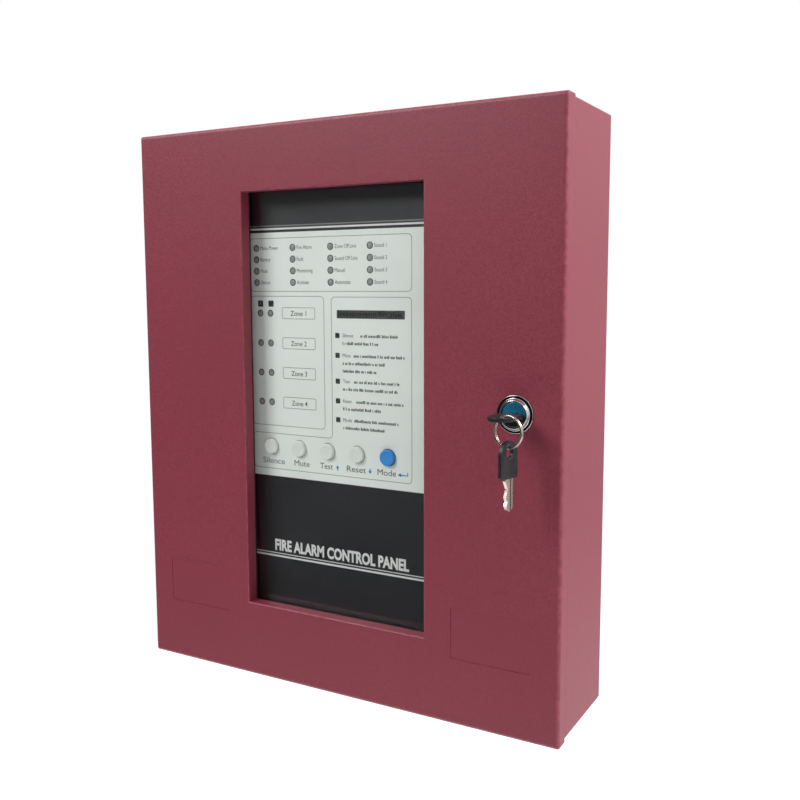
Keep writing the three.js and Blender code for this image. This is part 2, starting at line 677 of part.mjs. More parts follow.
const ring = new THREE.Group();
ring.position.copy(ringMiddle);
ring.rotation.z = rad(RING_TWIST);
key.add(ring);

function splitRing() {
  const inR = RING_R - RING_WIRE / 2;
  const outR = RING_R + RING_WIRE / 2;
  const half = RING_BAND / 2;
  return turned([[inR, -half], [outR, -half], [outR, half], [inR, half], [inR, -half]], 32);
}
piece('key_ring', splitRing(), NICKEL, ring);

// The spare key hangs on the lowest point of the ring, edge on to the door.
const spare = new THREE.Group();
const wireTop = -RING_R + RING_WIRE / 2 + FIT;
spare.position.set(0, 0, wireTop + KEY_HOLE_IN - KEY_HOLE_R);
spare.rotation.set(0, 0, rad(90));
ring.add(spare);
const hanging = new THREE.Group();
hanging.rotation.x = rad(-90);
spare.add(hanging);
piece('spare_key_head', headWithSlot(0), BLACK_PLASTIC, hanging);
const spareBlade = piece('spare_key_blade', bladeWithTang(), NICKEL, hanging);
spareBlade.position.set(0, KEY_L, 0);

// ---------- operator panel ----------
// A steel plate with button holes and one slot for each column of lights, folded back into two
// legs with feet that are screwed to the rear wall.
function operatorPanel() {
  const left = PLATE_X - PLATE_W / 2;
  const right = PLATE_X + PLATE_W / 2;
  const bottom = PLATE_Z - PLATE_H / 2;
  const back = WALL_IN - 0.5;
  const foot = back - PLATE_T;
  const section = new THREE.Shape([
    [left - FOOT_W, foot], [left, foot], [left, PLATE_FRONT], [right, PLATE_FRONT],
    [right, foot], [right + FOOT_W, foot], [right + FOOT_W, back], [right - PLATE_T, back],
    [right - PLATE_T, PLATE_BACK], [left + PLATE_T, PLATE_BACK], [left + PLATE_T, back],
    [left - FOOT_W, back],
  ].map(([x, y]) => new THREE.Vector2(x, y)));
  const folded = new THREE.ExtrudeGeometry(section, { depth: PLATE_H, bevelEnabled: false });
  folded.translate(0, 0, bottom);
  let plate = solid(folded).subtract(block(
    left - 2 * FOOT_W, right + 2 * FOOT_W, PLATE_BACK, back + 1, bottom - 1, LEG_BOTTOM,
  ));
  plate = withButtonHoles(plate, PLATE_FRONT, PLATE_BACK);
  const half = LIGHT_R + 0.6;
  const slot = (x, zTop, zBottom) => block(
    x - half, x + half, PLATE_FRONT - 1, PLATE_BACK + 1, zBottom - half, zTop + half,
  );
  for (let i = 0; i < STATUS_N; i += 1) {
    const lowest = STATUS_Z - (STATUS_N - 1) * STATUS_DZ;
    plate = plate.subtract(slot(STATUS_X + i * STATUS_DX, STATUS_Z, lowest));
  }
  for (const x of [ZONE_X, ZONE_X + ZONE_DX]) {
    plate = plate.subtract(slot(x, ZONE_Z, ZONE_Z - (ZONE_N - 1) * ZONE_DZ));
  }
  return plate;
}
piece('operator_panel', operatorPanel(), ZINC);

// The printed front sheet, clear over the lights.
function panelOverlay() {
  const outline = roundedRect(OVERLAY_W, OVERLAY_H, 2, PLATE_X, PLATE_Z);
  const sheet = slabY(outline, OVERLAY_FACE, OVERLAY_FACE + OVERLAY_T, { curveSegments: 2 });
  return withButtonHoles(sheet, OVERLAY_FACE, OVERLAY_FACE + OVERLAY_T);
}
piece('panel_overlay', panelOverlay(), PRINT);

// One clear moulding: a rod for each light, joined by a web behind the plate.
function lightGuide(places, margin) {
  const xs = places.map(([x]) => x);
  const zs = places.map(([, z]) => z);
  const web = block(
    Math.min(...xs) - margin, Math.max(...xs) + margin, PLATE_BACK + 3, PLATE_BACK + 4.6,
    Math.min(...zs) - margin, Math.max(...zs) + margin,
  );
  return places.reduce(
    (guide, [x, z]) => guide.add(barY(LIGHT_R, PLATE_FRONT, DISPLAY_FRONT - FIT, x, z, 8)),
    web,
  );
}
piece('status_light_guide', lightGuide(statusPlaces, 3.5), SMOKE);
piece('zone_light_guide', lightGuide(zonePlaces, 3.5), SMOKE);

// A push button: round cap, skirt that keeps it behind the plate, and a stem.
const STEM_END = DISPLAY_FRONT - FIT - SWITCH_H - FIT - BUTTON_TRAVEL;
function pushButton() {
  const tip = OVERLAY_FACE - BUTTON_PROUD;
  const skirt = PLATE_BACK + FIT;
  return turned([
    [0, tip], [BUTTON_R - 0.6, tip], [BUTTON_R, tip + 0.5], [BUTTON_R, skirt],
    [BUTTON_SKIRT_R, skirt], [BUTTON_SKIRT_R, skirt + 1.2], [1.8, skirt + 1.2],
    [1.8, STEM_END], [0, STEM_END],
  ], 20);
}

// The switch soldered behind each button.
function tactSwitch() {
  const y1 = DISPLAY_FRONT - FIT;
  const half = SWITCH_W / 2;
  const body = block(-half, half, y1 - 2, y1, -half, half);
  return body.add(barY(1.7, y1 - SWITCH_H, y1 - 1.5, 0, 0, 10));
}
BUTTON_NAMES.forEach((name, i) => {
  const finish = name === 'mode' ? BLUE_KEY : WHITE_KEY;
  const [x, z] = buttonPlaces[i];
  piece(`button_${name}`, pushButton(), finish).position.set(x, 0, z);
  piece(`switch_${name}`, tactSwitch(), BLACK_PLASTIC).position.set(x, 0, z);
});

piece('display_board', block(
  PLATE_X - DISPLAY_W / 2, PLATE_X + DISPLAY_W / 2, DISPLAY_FRONT, DISPLAY_FRONT + BOARD_T,
  DISPLAY_BOTTOM, DISPLAY_TOP,
), GREEN_BOARD);

// Two bars hold the display board off the back of the plate.
[[-1, 'left'], [1, 'right']].forEach(([side, word]) => {
  const x = PLATE_X + side * (DISPLAY_W / 2 - 3.5);
  piece(`display_spacer_${word}`, block(
    x - 3, x + 3, PLATE_BACK + FIT, DISPLAY_FRONT - FIT, DISPLAY_BOTTOM + 4, DISPLAY_TOP - 4,
  ), BLACK_PLASTIC);
});

// ---------- main board ----------
piece('main_board', block(
  MAIN_X - MAIN_W / 2, MAIN_X + MAIN_W / 2, MAIN_FRONT, MAIN_BACK, MAIN_BOTTOM, MAIN_TOP,
), GREEN_BOARD);

[[-1, 'left'], [1, 'right']].forEach(([side, word]) => {
  const x = MAIN_X + side * (MAIN_W / 2 - 5);
  piece(`board_rail_${word}`, block(
    x - 4, x + 4, MAIN_BACK + FIT, WALL_IN - FIT, MAIN_BOTTOM + 4, MAIN_TOP - 4,
  ), BLACK_PLASTIC);
});

// A row of screw terminals: a wire mouth and a screw well in each way.
function terminalStrip() {
  const y1 = MAIN_FRONT - FIT;
  const z0 = MAIN_BOTTOM + 2;
  const width = TERMINAL_WAYS * TERMINAL_PITCH;
  const left = MAIN_X - width / 2;
  let strip = block(left, left + width, y1 - 11, y1, z0, z0 + 9);
  for (let i = 0; i < TERMINAL_WAYS; i += 1) {
    const x = left + (i + 0.5) * TERMINAL_PITCH;
    strip = strip
      .subtract(block(x - 1.8, x + 1.8, y1 - 6, y1 - 2, z0 - 1, z0 + 4))
      .subtract(barY(1.8, y1 - 12, y1 - 7.5, x, z0 + 5.4, 6));
  }
  return strip;
}
piece('field_terminals', terminalStrip(), GREEN_BLOCK);

function relay(x, z) {
  const y1 = MAIN_FRONT - FIT;
  return block(x - 9.5, x + 9.5, y1 - 15, y1, z - 8, z + 8);
}
piece('alarm_relay', relay(...RELAY_AT), RELAY_CASE);

// Fuse holder: a base with two upright clips and the glass fuse lying in them.
function fuseHolder(x, z) {
  const y1 = MAIN_FRONT - FIT;
  const base = block(x - 13, x + 13, y1 - 4, y1, z - 4, z + 4);
  const fuse = new THREE.CylinderGeometry(2.6, 2.6, 20, 12);
  fuse.rotateZ(Math.PI / 2);
  fuse.translate(x, y1 - 8, z);
  return base.add(solid(fuse))
    .add(block(x - 11, x - 7, y1 - 9, y1 - 3, z - 3.2, z + 3.2))
    .add(block(x + 7, x + 11, y1 - 9, y1 - 3, z - 3.2, z + 3.2));
}
piece('battery_fuse', fuseHolder(...FUSE_AT), CLEAR);

// Internal sounder: a round can with a sound hole.
function sounder(x, z) {
  const y1 = MAIN_FRONT - FIT;
  return barY(12, y1 - 9, y1, x, z, 24).subtract(barY(2, y1 - 10, y1 - 5, x, z, 12));
}
piece('internal_sounder', sounder(...SOUNDER_AT), BLACK_PLASTIC);

// Flat cable between the two boards, with a plug at each end. Its side view is a band of even
// thickness along a smooth line, and that outline is as wide as the cable.
function ribbonCable() {
  const y0 = DISPLAY_FRONT + BOARD_T + FIT;
  const y1 = MAIN_FRONT - FIT;
  const end = RIBBON_W / 2 + 2;
  const line = new THREE.CatmullRomCurve3([
    [y0 + 4, RIBBON_TOP], [y0 + 10, RIBBON_TOP], [y0 + 15, RIBBON_TOP - 9],
    [y1 - 15, RIBBON_END - 12], [y1 - 10, RIBBON_END], [y1 - 4, RIBBON_END],
  ].map(([y, z]) => new THREE.Vector3(0, y, z)));
  const sides = [[], []];
  for (let i = 0; i <= RIBBON_STEPS; i += 1) {
    const at = line.getPoint(i / RIBBON_STEPS);
    const along = line.getTangent(i / RIBBON_STEPS).multiplyScalar(RIBBON_T / 2);
    sides[0].push(new THREE.Vector2(at.y - along.z, at.z + along.y));
    sides[1].unshift(new THREE.Vector2(at.y + along.z, at.z - along.y));
  }
  const band = new THREE.ExtrudeGeometry(new THREE.Shape(sides.flat()), {
    depth: RIBBON_W, bevelEnabled: false,
  });
  band.rotateX(Math.PI / 2);
  band.rotateZ(Math.PI / 2);
  band.translate(RIBBON_X - RIBBON_W / 2, 0, 0);
  return solid(band)
    .add(block(RIBBON_X - end, RIBBON_X + end, y0, y0 + 6, RIBBON_TOP - 3, RIBBON_TOP + 3))
    .add(block(RIBBON_X - end, RIBBON_X + end, y1 - 6, y1, RIBBON_END - 3, RIBBON_END + 3));
}
piece('ribbon_cable', ribbonCable(), GREY_RIBBON);

// ---------- power ----------
// Mains transformer: a laminated core on a foot plate, and the taped winding round its middle.
function transformerCore() {
  const back = WALL_IN - FIT;
  const { x0, x1, z0, z1, deep } = CORE;
  const core = block(x0, x1, back - 6 - deep, back - 4, z0 + 5, z1 - 5);
  const foot = block(x0, x1, back - 1.5, back, z0, z1);
  const post = block(x0 + 8, x1 - 8, back - 5, back - 1, z0 + 8, z1 - 8);
  const gaps = [[x0 + 8, x0 + 18], [x1 - 18, x1 - 8]];
  let stack = core.add(foot).add(post);
  for (const [a, b] of gaps) {
    stack = stack.subtract(block(a, b, back - 9 - deep, back - 4.5, z0 + 15, z1 - 15));
  }
  return stack;
}
piece('transformer_core', transformerCore(), CORE_STEEL);

function transformerCoil() {
  const back = WALL_IN - FIT;
  const { x0, x1, z0, z1, deep } = CORE;
  const outside = block(
    x0 + 8 + FIT, x1 - 8 - FIT, back - 12 - deep, back - 4.5 - FIT, z0 + 15 + FIT, z1 - 15 - FIT,
  );
  const limb = block(
    x0 + 18 - FIT, x1 - 18 + FIT, back - 6 - deep - FIT, back, z0, z1,
  );
  return outside.subtract(limb);
}
piece('transformer_coil', transformerCoil(), COIL_TAPE);

// A sealed battery with its two blade terminals on top.
function battery(side) {
  const x0 = side > 0 ? BATTERY_GAP / 2 : -BATTERY_GAP / 2 - BATTERY_W;
  const x1 = x0 + BATTERY_W;
  const blade = (x) => block(
    x - 0.4, x + 0.4, BLADE_Y - 2.4, BLADE_Y + 2.4, BATTERY_TOP - 1, BATTERY_TOP + 6,
  );
  return block(x0, x1, BATTERY_FRONT, BATTERY_BACK, BATTERY_FLOOR, BATTERY_TOP)
    .add(blade(x0 + BLADE_IN))
    .add(blade(x1 - BLADE_IN));
}
piece('battery_1', battery(-1), BATTERY_CASE);
piece('battery_2', battery(1), BATTERY_CASE);

// Strap across the front of both batteries, screwed to the rear wall at its ends.
function batteryStrap() {
  const reach = BATTERY_W + BATTERY_GAP / 2 + 1;
  const t = STRAP_T;
  const z0 = STRAP_Z;
  const z1 = STRAP_Z + STRAP_W;
  const y0 = BATTERY_FRONT - FIT - t;
  const back = WALL_IN - FIT;
  return block(-reach - t, reach + t, y0, y0 + t, z0, z1)
    .add(block(-reach - t, -reach, y0, back, z0, z1))
    .add(block(reach, reach + t, y0, back, z0, z1))
    .add(block(-reach - STRAP_FOOT, -reach, back - t, back, z0, z1))
    .add(block(reach, reach + STRAP_FOOT, back - t, back, z0, z1));
}
piece('battery_strap', batteryStrap(), ZINC);

// Leads with a push-on tab at each battery blade.
function tab(x) {
  const sleeve = block(x - 1.6, x + 1.6, BLADE_Y - 4, BLADE_Y + 4, BATTERY_TOP + 0.5, TAB_TOP);
  const slot = block(x - 0.7, x + 0.7, BLADE_Y - 2.8, BLADE_Y + 2.8, BATTERY_TOP, TAB_TOP - 2.5);
  return sleeve.subtract(slot);
}
const WIRE = circleShape(1.2);
function linkLead() {
  const x = BATTERY_GAP / 2 + BLADE_IN;
  const route = [
    [-x, BLADE_Y, TAB_TOP - 0.5], [-x * 0.8, BLADE_Y, TAB_TOP + 6],
    [0, BLADE_Y, TAB_TOP + 9], [x * 0.8, BLADE_Y, TAB_TOP + 6], [x, BLADE_Y, TAB_TOP - 0.5],
  ];
  return lead(route, WIRE, 12).add(tab(-x)).add(tab(x));
}
piece('battery_link', linkLead(), BLACK_WIRE);

function batteryLead(x, xEnd) {
  const yEnd = MAIN_FRONT - FIT - 4;
  const route = [
    [x, BLADE_Y, TAB_TOP - 0.5], [x * 0.95, BLADE_Y, TAB_TOP + 7],
    [x * 0.72, BLADE_Y - 5, TAB_TOP + 12], [xEnd, yEnd - 4, TAB_TOP + 40],
    [xEnd, yEnd, MAIN_BOTTOM - 16], [xEnd, yEnd, MAIN_BOTTOM + 1],
  ];
  return lead(route, WIRE, 16).add(tab(x));
}
const FAR_BLADE = BATTERY_GAP / 2 + BATTERY_W - BLADE_IN;
piece('battery_lead_black', batteryLead(-FAR_BLADE, -47.5), BLACK_WIRE);
piece('battery_lead_red', batteryLead(FAR_BLADE, 42.5), RED_WIRE);

export default group;
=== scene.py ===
"""Fine surfaces, finishes and studio for a wall-mounted fire alarm control panel.

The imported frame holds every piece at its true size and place. This file draws the folded steel,
the printed front sheet, the lights, buttons, lock and keys as finer surfaces over it, and gives
every other piece its finish. Lengths are in metres, +X right, +Y into the wall, +Z up.
"""

import json
import math

import bmesh
import bpy
import numpy as np
from mathutils import Matrix, Vector


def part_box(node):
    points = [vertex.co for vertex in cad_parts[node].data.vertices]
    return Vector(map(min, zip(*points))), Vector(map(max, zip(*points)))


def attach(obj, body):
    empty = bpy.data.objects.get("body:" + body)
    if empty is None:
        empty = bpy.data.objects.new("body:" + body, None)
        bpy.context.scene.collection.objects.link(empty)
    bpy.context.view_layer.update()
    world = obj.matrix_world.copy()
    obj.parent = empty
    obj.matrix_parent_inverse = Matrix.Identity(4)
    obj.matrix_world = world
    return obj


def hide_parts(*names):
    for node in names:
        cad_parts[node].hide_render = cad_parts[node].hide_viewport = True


bl_info = {
    "name": "Fire alarm control panel",
    "version": (1, 0, 0),
    "blender": (4, 5, 0),
    "location": "View3D > Sidebar > Alarm Panel",
    "description": "Draws the finished surfaces of a wall-mounted fire alarm control panel",
    "category": "Add Mesh",
}

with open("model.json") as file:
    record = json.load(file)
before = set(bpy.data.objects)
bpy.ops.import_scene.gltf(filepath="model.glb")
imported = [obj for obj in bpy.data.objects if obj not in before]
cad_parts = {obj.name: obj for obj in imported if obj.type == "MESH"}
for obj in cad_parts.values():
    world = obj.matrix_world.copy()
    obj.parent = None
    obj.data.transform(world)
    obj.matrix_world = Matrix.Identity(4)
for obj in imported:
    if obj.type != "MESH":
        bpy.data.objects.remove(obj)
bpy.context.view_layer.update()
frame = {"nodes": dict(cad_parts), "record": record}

MM = 0.001
SLOT_OF = {row["node"]: row["material_slot"] for row in frame["record"]["subparts"]}
BODY_OF = {
    node: body
    for body, nodes in frame["record"]["behaviour"]["bodies"].items()
    for node in nodes
}


def srgb(red, green, blue):
    """A colour given as 0 to 255 on a screen, as the linear values that shaders use."""
    share = np.array([red, green, blue]) / 255
    linear = np.where(share <= 0.04045, share / 12.92, ((share + 0.055) / 1.055) ** 2.4)
    return tuple(float(value) for value in linear)


# ---------- places taken from the frame ----------

DOOR_LOW, DOOR_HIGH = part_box("door_shell")
CASE_LOW, CASE_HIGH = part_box("back_box")
PANE_LOW, PANE_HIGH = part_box("window_pane")
SHEET_LOW, SHEET_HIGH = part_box("panel_overlay")
LOCK_LOW, LOCK_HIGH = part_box("lock_housing")
RING_LOW, RING_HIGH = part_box("key_ring")

FRONT = DOOR_LOW.y                       # the door's front face
STEEL = 1.2 * MM                         # thickness of the folded sheets
PANE_LAP = 6 * MM                        # the pane reaches this far past the opening
WINDOW_W = PANE_HIGH.x - PANE_LOW.x - 2 * PANE_LAP
WINDOW_H = PANE_HIGH.z - PANE_LOW.z - 2 * PANE_LAP
WINDOW_Z = (PANE_HIGH.z + PANE_LOW.z) / 2
REVEAL = 9 * MM
CORNER = 1.2 * MM                        # welded corners, seen from the front
LOCK_X = (LOCK_LOW.x + LOCK_HIGH.x) / 2
LOCK_Z = (LOCK_LOW.z + LOCK_HIGH.z) / 2
RING_CENTRE = (RING_LOW + RING_HIGH) / 2
RING_TWIST = math.radians(-12)           # the ring's turn about the vertical
SHEET_FACE = SHEET_LOW.y                 # face of the printed front sheet
BUTTONS = ("silence", "mute", "test", "reset", "mode")


def light_places(node, columns, rows):
    """Middles of the lights of one light guide, as rows of x and z."""
    low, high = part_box(node)
    margin = 3.5 * MM
    x = np.linspace(low.x + margin, high.x - margin, columns)
    z = np.linspace(high.z - margin, low.z + margin, rows)
    return np.stack(np.meshgrid(x, z), axis=-1).reshape(-1, 2)


# ---------- settings ----------

class PaintSettings(bpy.types.PropertyGroup):
    """The textured red paint on the folded steel."""
    colour: bpy.props.FloatVectorProperty(
        name="Colour", description="Colour of the powder coat", subtype="COLOR",
        size=3, min=0, max=1, default=srgb(141, 54, 70),
    )
    grain: bpy.props.FloatProperty(
        name="Grain", description="Size of the paint's fine texture",
        default=0.9 * MM, min=0.1 * MM, max=5 * MM, unit="LENGTH", precision=5,
    )
    bend: bpy.props.FloatProperty(
        name="Door bend", description="Outer radius of the door's folded edges",
        default=2.5 * MM, min=0.5 * MM, max=4 * MM, unit="LENGTH", precision=5,
    )
    case_bend: bpy.props.FloatProperty(
        name="Case bend", description="Outer radius of the case's rear edges",
        default=3 * MM, min=0.5 * MM, max=6 * MM, unit="LENGTH", precision=5,
    )


class PrintSettings(bpy.types.PropertyGroup):
    """The printed front sheet."""
    field: bpy.props.FloatVectorProperty(
        name="Field", description="Colour of the pale field", subtype="COLOR",
        size=3, min=0, max=1, default=srgb(242, 248, 243),
    )
    black: bpy.props.FloatVectorProperty(
        name="Black", description="Colour of the black bands", subtype="COLOR",
        size=3, min=0, max=1, default=srgb(20, 21, 25),
    )
    ink: bpy.props.FloatProperty(
        name="Ink", description="Thickness of the printed ink",
        default=0.03 * MM, min=0.01 * MM, max=0.1 * MM, unit="LENGTH", precision=6,
    )


class LockSettings(bpy.types.PropertyGroup):
    """The cam lock and its keys."""
    face: bpy.props.FloatVectorProperty(
        name="Face", description="Colour of the lacquered lock face", subtype="COLOR",
        size=3, min=0, max=1, default=srgb(12, 112, 150),
    )
    wire: bpy.props.FloatProperty(
        name="Ring wire", description="Radial thickness of the split ring's wire",
        default=1.2 * MM, min=0.6 * MM, max=1.3 * MM, unit="LENGTH", precision=5,
    )


class StudioSettings(bpy.types.PropertyGroup):
    """Light and camera."""
    sky: bpy.props.FloatProperty(
        name="Sky", description="Brightness of the white surroundings",
        default=0.72, min=0, max=3,
    )
    side_light: bpy.props.FloatProperty(
        name="Side light", description="Power of the soft light on the right",
        default=14, min=0, max=500, unit="POWER",
    )
    front_light: bpy.props.FloatProperty(
        name="Front light", description="Power of the soft light in front, on the left",
        default=23, min=0, max=500, unit="POWER",
    )


# ---------- surfaces ----------

def arc(start, end, steps):
    """Angles from start to end in degrees, both ends included, as radians."""
    return np.radians(np.linspace(start, end, steps + 1))


def rounded_outline(width, height, radius, steps=6):
    """A rectangle with round corners, anticlockwise: each corner is centre + radius (cos, sin)."""
    angles = np.arange(4)[:, None] * np.pi / 2 + arc(0, 90, steps)[None, :]
    signs = np.array([[1, 1], [-1, 1], [-1, -1], [1, -1]])
    middles = signs * [width / 2 - radius, height / 2 - radius]
    x = middles[:, :1] + radius * np.cos(angles)
    z = middles[:, 1:] + radius * np.sin(angles)
    return np.stack([x.ravel(), z.ravel()], axis=1)


def circle_outline(radius, x=0.0, z=0.0, steps=48):
    """Points of a circle, anticlockwise."""
    angles = 2 * np.pi * np.arange(steps) / steps
    return np.stack([x + radius * np.cos(angles), z + radius * np.sin(angles)], axis=1)


def standing(outline, y):
    """An outline of x and z put at depth y."""
    return np.insert(outline, 1, y, axis=1)


def grid_faces(rows, columns, close_rows, close_columns):
    """Four-sided faces between neighbouring points of a grid, wrapping where it closes."""
    i = np.arange(rows if close_rows else rows - 1)[:, None]
    j = np.arange(columns if close_columns else columns - 1)[None, :]
    here = i * columns + j
    right = i * columns + (j + 1) % columns
    up = ((i + 1) % rows) * columns + j
    corner = ((i + 1) % rows) * columns + (j + 1) % columns
    return np.stack([here, right, corner, up], axis=-1).reshape(-1, 4)


def new_object(name, mesh):
    """Links a mesh to the scene as one object at the origin."""
    piece = bpy.data.objects.new(name, mesh)
    bpy.context.scene.collection.objects.link(piece)
    return piece


def outward(mesh):
    """Turns a closed mesh's faces outwards: its signed volume is positive then."""
    mesh.calc_loop_triangles()
    corners = np.empty(len(mesh.loop_triangles) * 3, np.int32)
    points = np.empty(len(mesh.vertices) * 3, np.float32)
    mesh.loop_triangles.foreach_get("vertices", corners)
    mesh.vertices.foreach_get("co", points)
    a, b, c = points.reshape(-1, 3).astype(float)[corners.reshape(-1, 3)].transpose(1, 0, 2)
    if np.einsum("ij,ij->", a, np.cross(b, c)) < 0:
        mesh.flip_normals()


def surface(name, points, close_rows=False, close_columns=True, caps=False, mark=None):
    """A closed body from a grid of points, rows by columns. Caps close its first and last rows,
    and rows that shrink to a point become a pole. `mark` is a number per row, kept as the
    attribute `edge` for the finish to read."""
    rows, columns = points.shape[:2]
    faces = grid_faces(rows, columns, close_rows, close_columns).tolist()
    if caps:
        faces.append(list(range(columns))[::-1])
        faces.append(list(range((rows - 1) * columns, rows * columns)))
    mesh = bpy.data.meshes.new(name)
    mesh.from_pydata(points.reshape(-1, 3), [], faces)
    if mark is not None:
        edge = mesh.attributes.new("edge", "FLOAT", "POINT")
        edge.data.foreach_set("value", np.repeat(mark, columns).astype(np.float32))
    work = bmesh.new()
    work.from_mesh(mesh)
    bmesh.ops.remove_doubles(work, verts=work.verts, dist=1e-7)
    work.to_mesh(mesh)
    work.free()
    outward(mesh)
    return new_object(name, mesh)


def rings_surface(name, rings, **options):
    """A body through round-cornered rectangles, each (width, height, radius, z middle, y)."""
    points = [
        standing(rounded_outline(w, h, r), y) + [0, 0, z] for w, h, r, z, y in rings
    ]
    return surface(name, np.array(points), **options)


def prism(name, outline, y0, y1):
    """An outline of x and z carried along Y from y0 to y1."""
    return surface(name, np.array([standing(outline, y0), standing(outline, y1)]), caps=True)


def turned(name, profile, middle, axis="Y", sides=96):
    """A profile of (radius, height) pairs turned round an axis through the middle. A point is
    middle + radius (cos, sin) across the axis + height along it. An open profile is capped."""
    radius, height = np.array(profile, float).T[:, :, None]
    angles = 2 * np.pi * np.arange(sides)[None, :] / sides
    flat = [radius * np.cos(angles), radius * np.sin(angles), height + 0 * angles]
    order = {"X": (2, 0, 1), "Y": (0, 2, 1), "Z": (0, 1, 2)}[axis]
    points = np.stack([flat[i] for i in order], axis=-1) + np.array(middle, float)
    closed = bool(np.allclose(profile[0], profile[-1]))
    if closed:
        points = points[:-1]
    return surface(name, points, close_rows=closed, caps=not closed)


def filleted(profile, radius, steps=4):
    """A profile with its inner corners rounded. Each corner becomes a smooth curve between the
    points `radius` before and after it: (1-t)^2 a + 2t(1-t) corner + t^2 b."""
    points = np.array(profile, float)
    before, corner, after = points[:-2], points[1:-1], points[2:]
    length_in = np.linalg.norm(before - corner, axis=1, keepdims=True)
    length_out = np.linalg.norm(after - corner, axis=1, keepdims=True)
    a = corner + (before - corner) * np.minimum(radius / length_in, 0.45)
    b = corner + (after - corner) * np.minimum(radius / length_out, 0.45)
    t = np.linspace(0, 1, steps + 1)[None, :, None]
    curve = (1 - t) ** 2 * a[:, None] + 2 * t * (1 - t) * corner[:, None] + t ** 2 * b[:, None]
    return np.concatenate([points[:1], curve.reshape(-1, 2), points[-1:]])


def settle(piece):
    """Works out a piece's modifiers into its mesh."""
    graph = bpy.context.evaluated_depsgraph_get()
    mesh = bpy.data.meshes.new_from_object(piece.evaluated_get(graph))
    old = piece.data
    piece.modifiers.clear()
    piece.data = mesh
    bpy.data.meshes.remove(old)
    return piece


def cut(piece, cutters):
    """Takes the cutters out of a piece and removes them."""
    for cutter in cutters:
        step = piece.modifiers.new("cut", "BOOLEAN")
        step.operation = "DIFFERENCE"
        step.solver = "EXACT"
        step.object = cutter
    settle(piece)
    for cutter in cutters:
        bpy.data.objects.remove(cutter)
    return piece


def smooth(piece, angle=30, bevel=0.0):
    """Shades a piece smooth up to an angle, with a small bevel on its sharp edges if asked. Flat
    faces keep their own direction because normals are weighted by area."""
    if bevel:
        step = piece.modifiers.new("bevel", "BEVEL")
        step.width = bevel
        step.segments = 2
        step.limit_method = "ANGLE"
        step.angle_limit = math.radians(40)
        step.use_clamp_overlap = True
        settle(piece)
    piece.data.shade_smooth()
    piece.data.set_sharp_from_angle(angle=math.radians(angle))
    step = piece.modifiers.new("weighted", "WEIGHTED_NORMAL")
    step.keep_sharp = True
    return settle(piece)


def joined(name, pieces):
    """Several objects as one, with one mesh."""
    work = bmesh.new()
    for part in pieces:
        work.from_mesh(part.data)
        bpy.data.objects.remove(part)
    mesh = bpy.data.meshes.new(name)
    work.to_mesh(mesh)
    work.free()
    return new_object(name, mesh)


def place(piece, material, body, slot, *nodes):
    """Gives a piece its finish and its body, and lets it stand for CAD nodes; its slot is not used.
    """
    piece.data.materials.clear()
    piece.data.materials.append(material)
    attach(piece, body)
    if nodes:
        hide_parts(*nodes)
    return piece


def finished_copy(node, material, bevel=0.15 * MM, angle=30):
    """A CAD piece's own shape, merged, with small bevels on its edges."""
    mesh = frame["nodes"][node].data.copy()
    piece = new_object(f"{node}_finished", mesh)
    work = bmesh.new()
    work.from_mesh(mesh)
    bmesh.ops.remove_doubles(work, verts=work.verts, dist=2e-6)
    bmesh.ops.dissolve_limit(
        work, angle_limit=math.radians(1), verts=work.verts, edges=work.edges,
    )
    work.to_mesh(mesh)
    work.free()
    smooth(piece, angle=angle, bevel=bevel)
    return place(piece, material, BODY_OF[node], SLOT_OF[node], node)


# ---------- finishes ----------

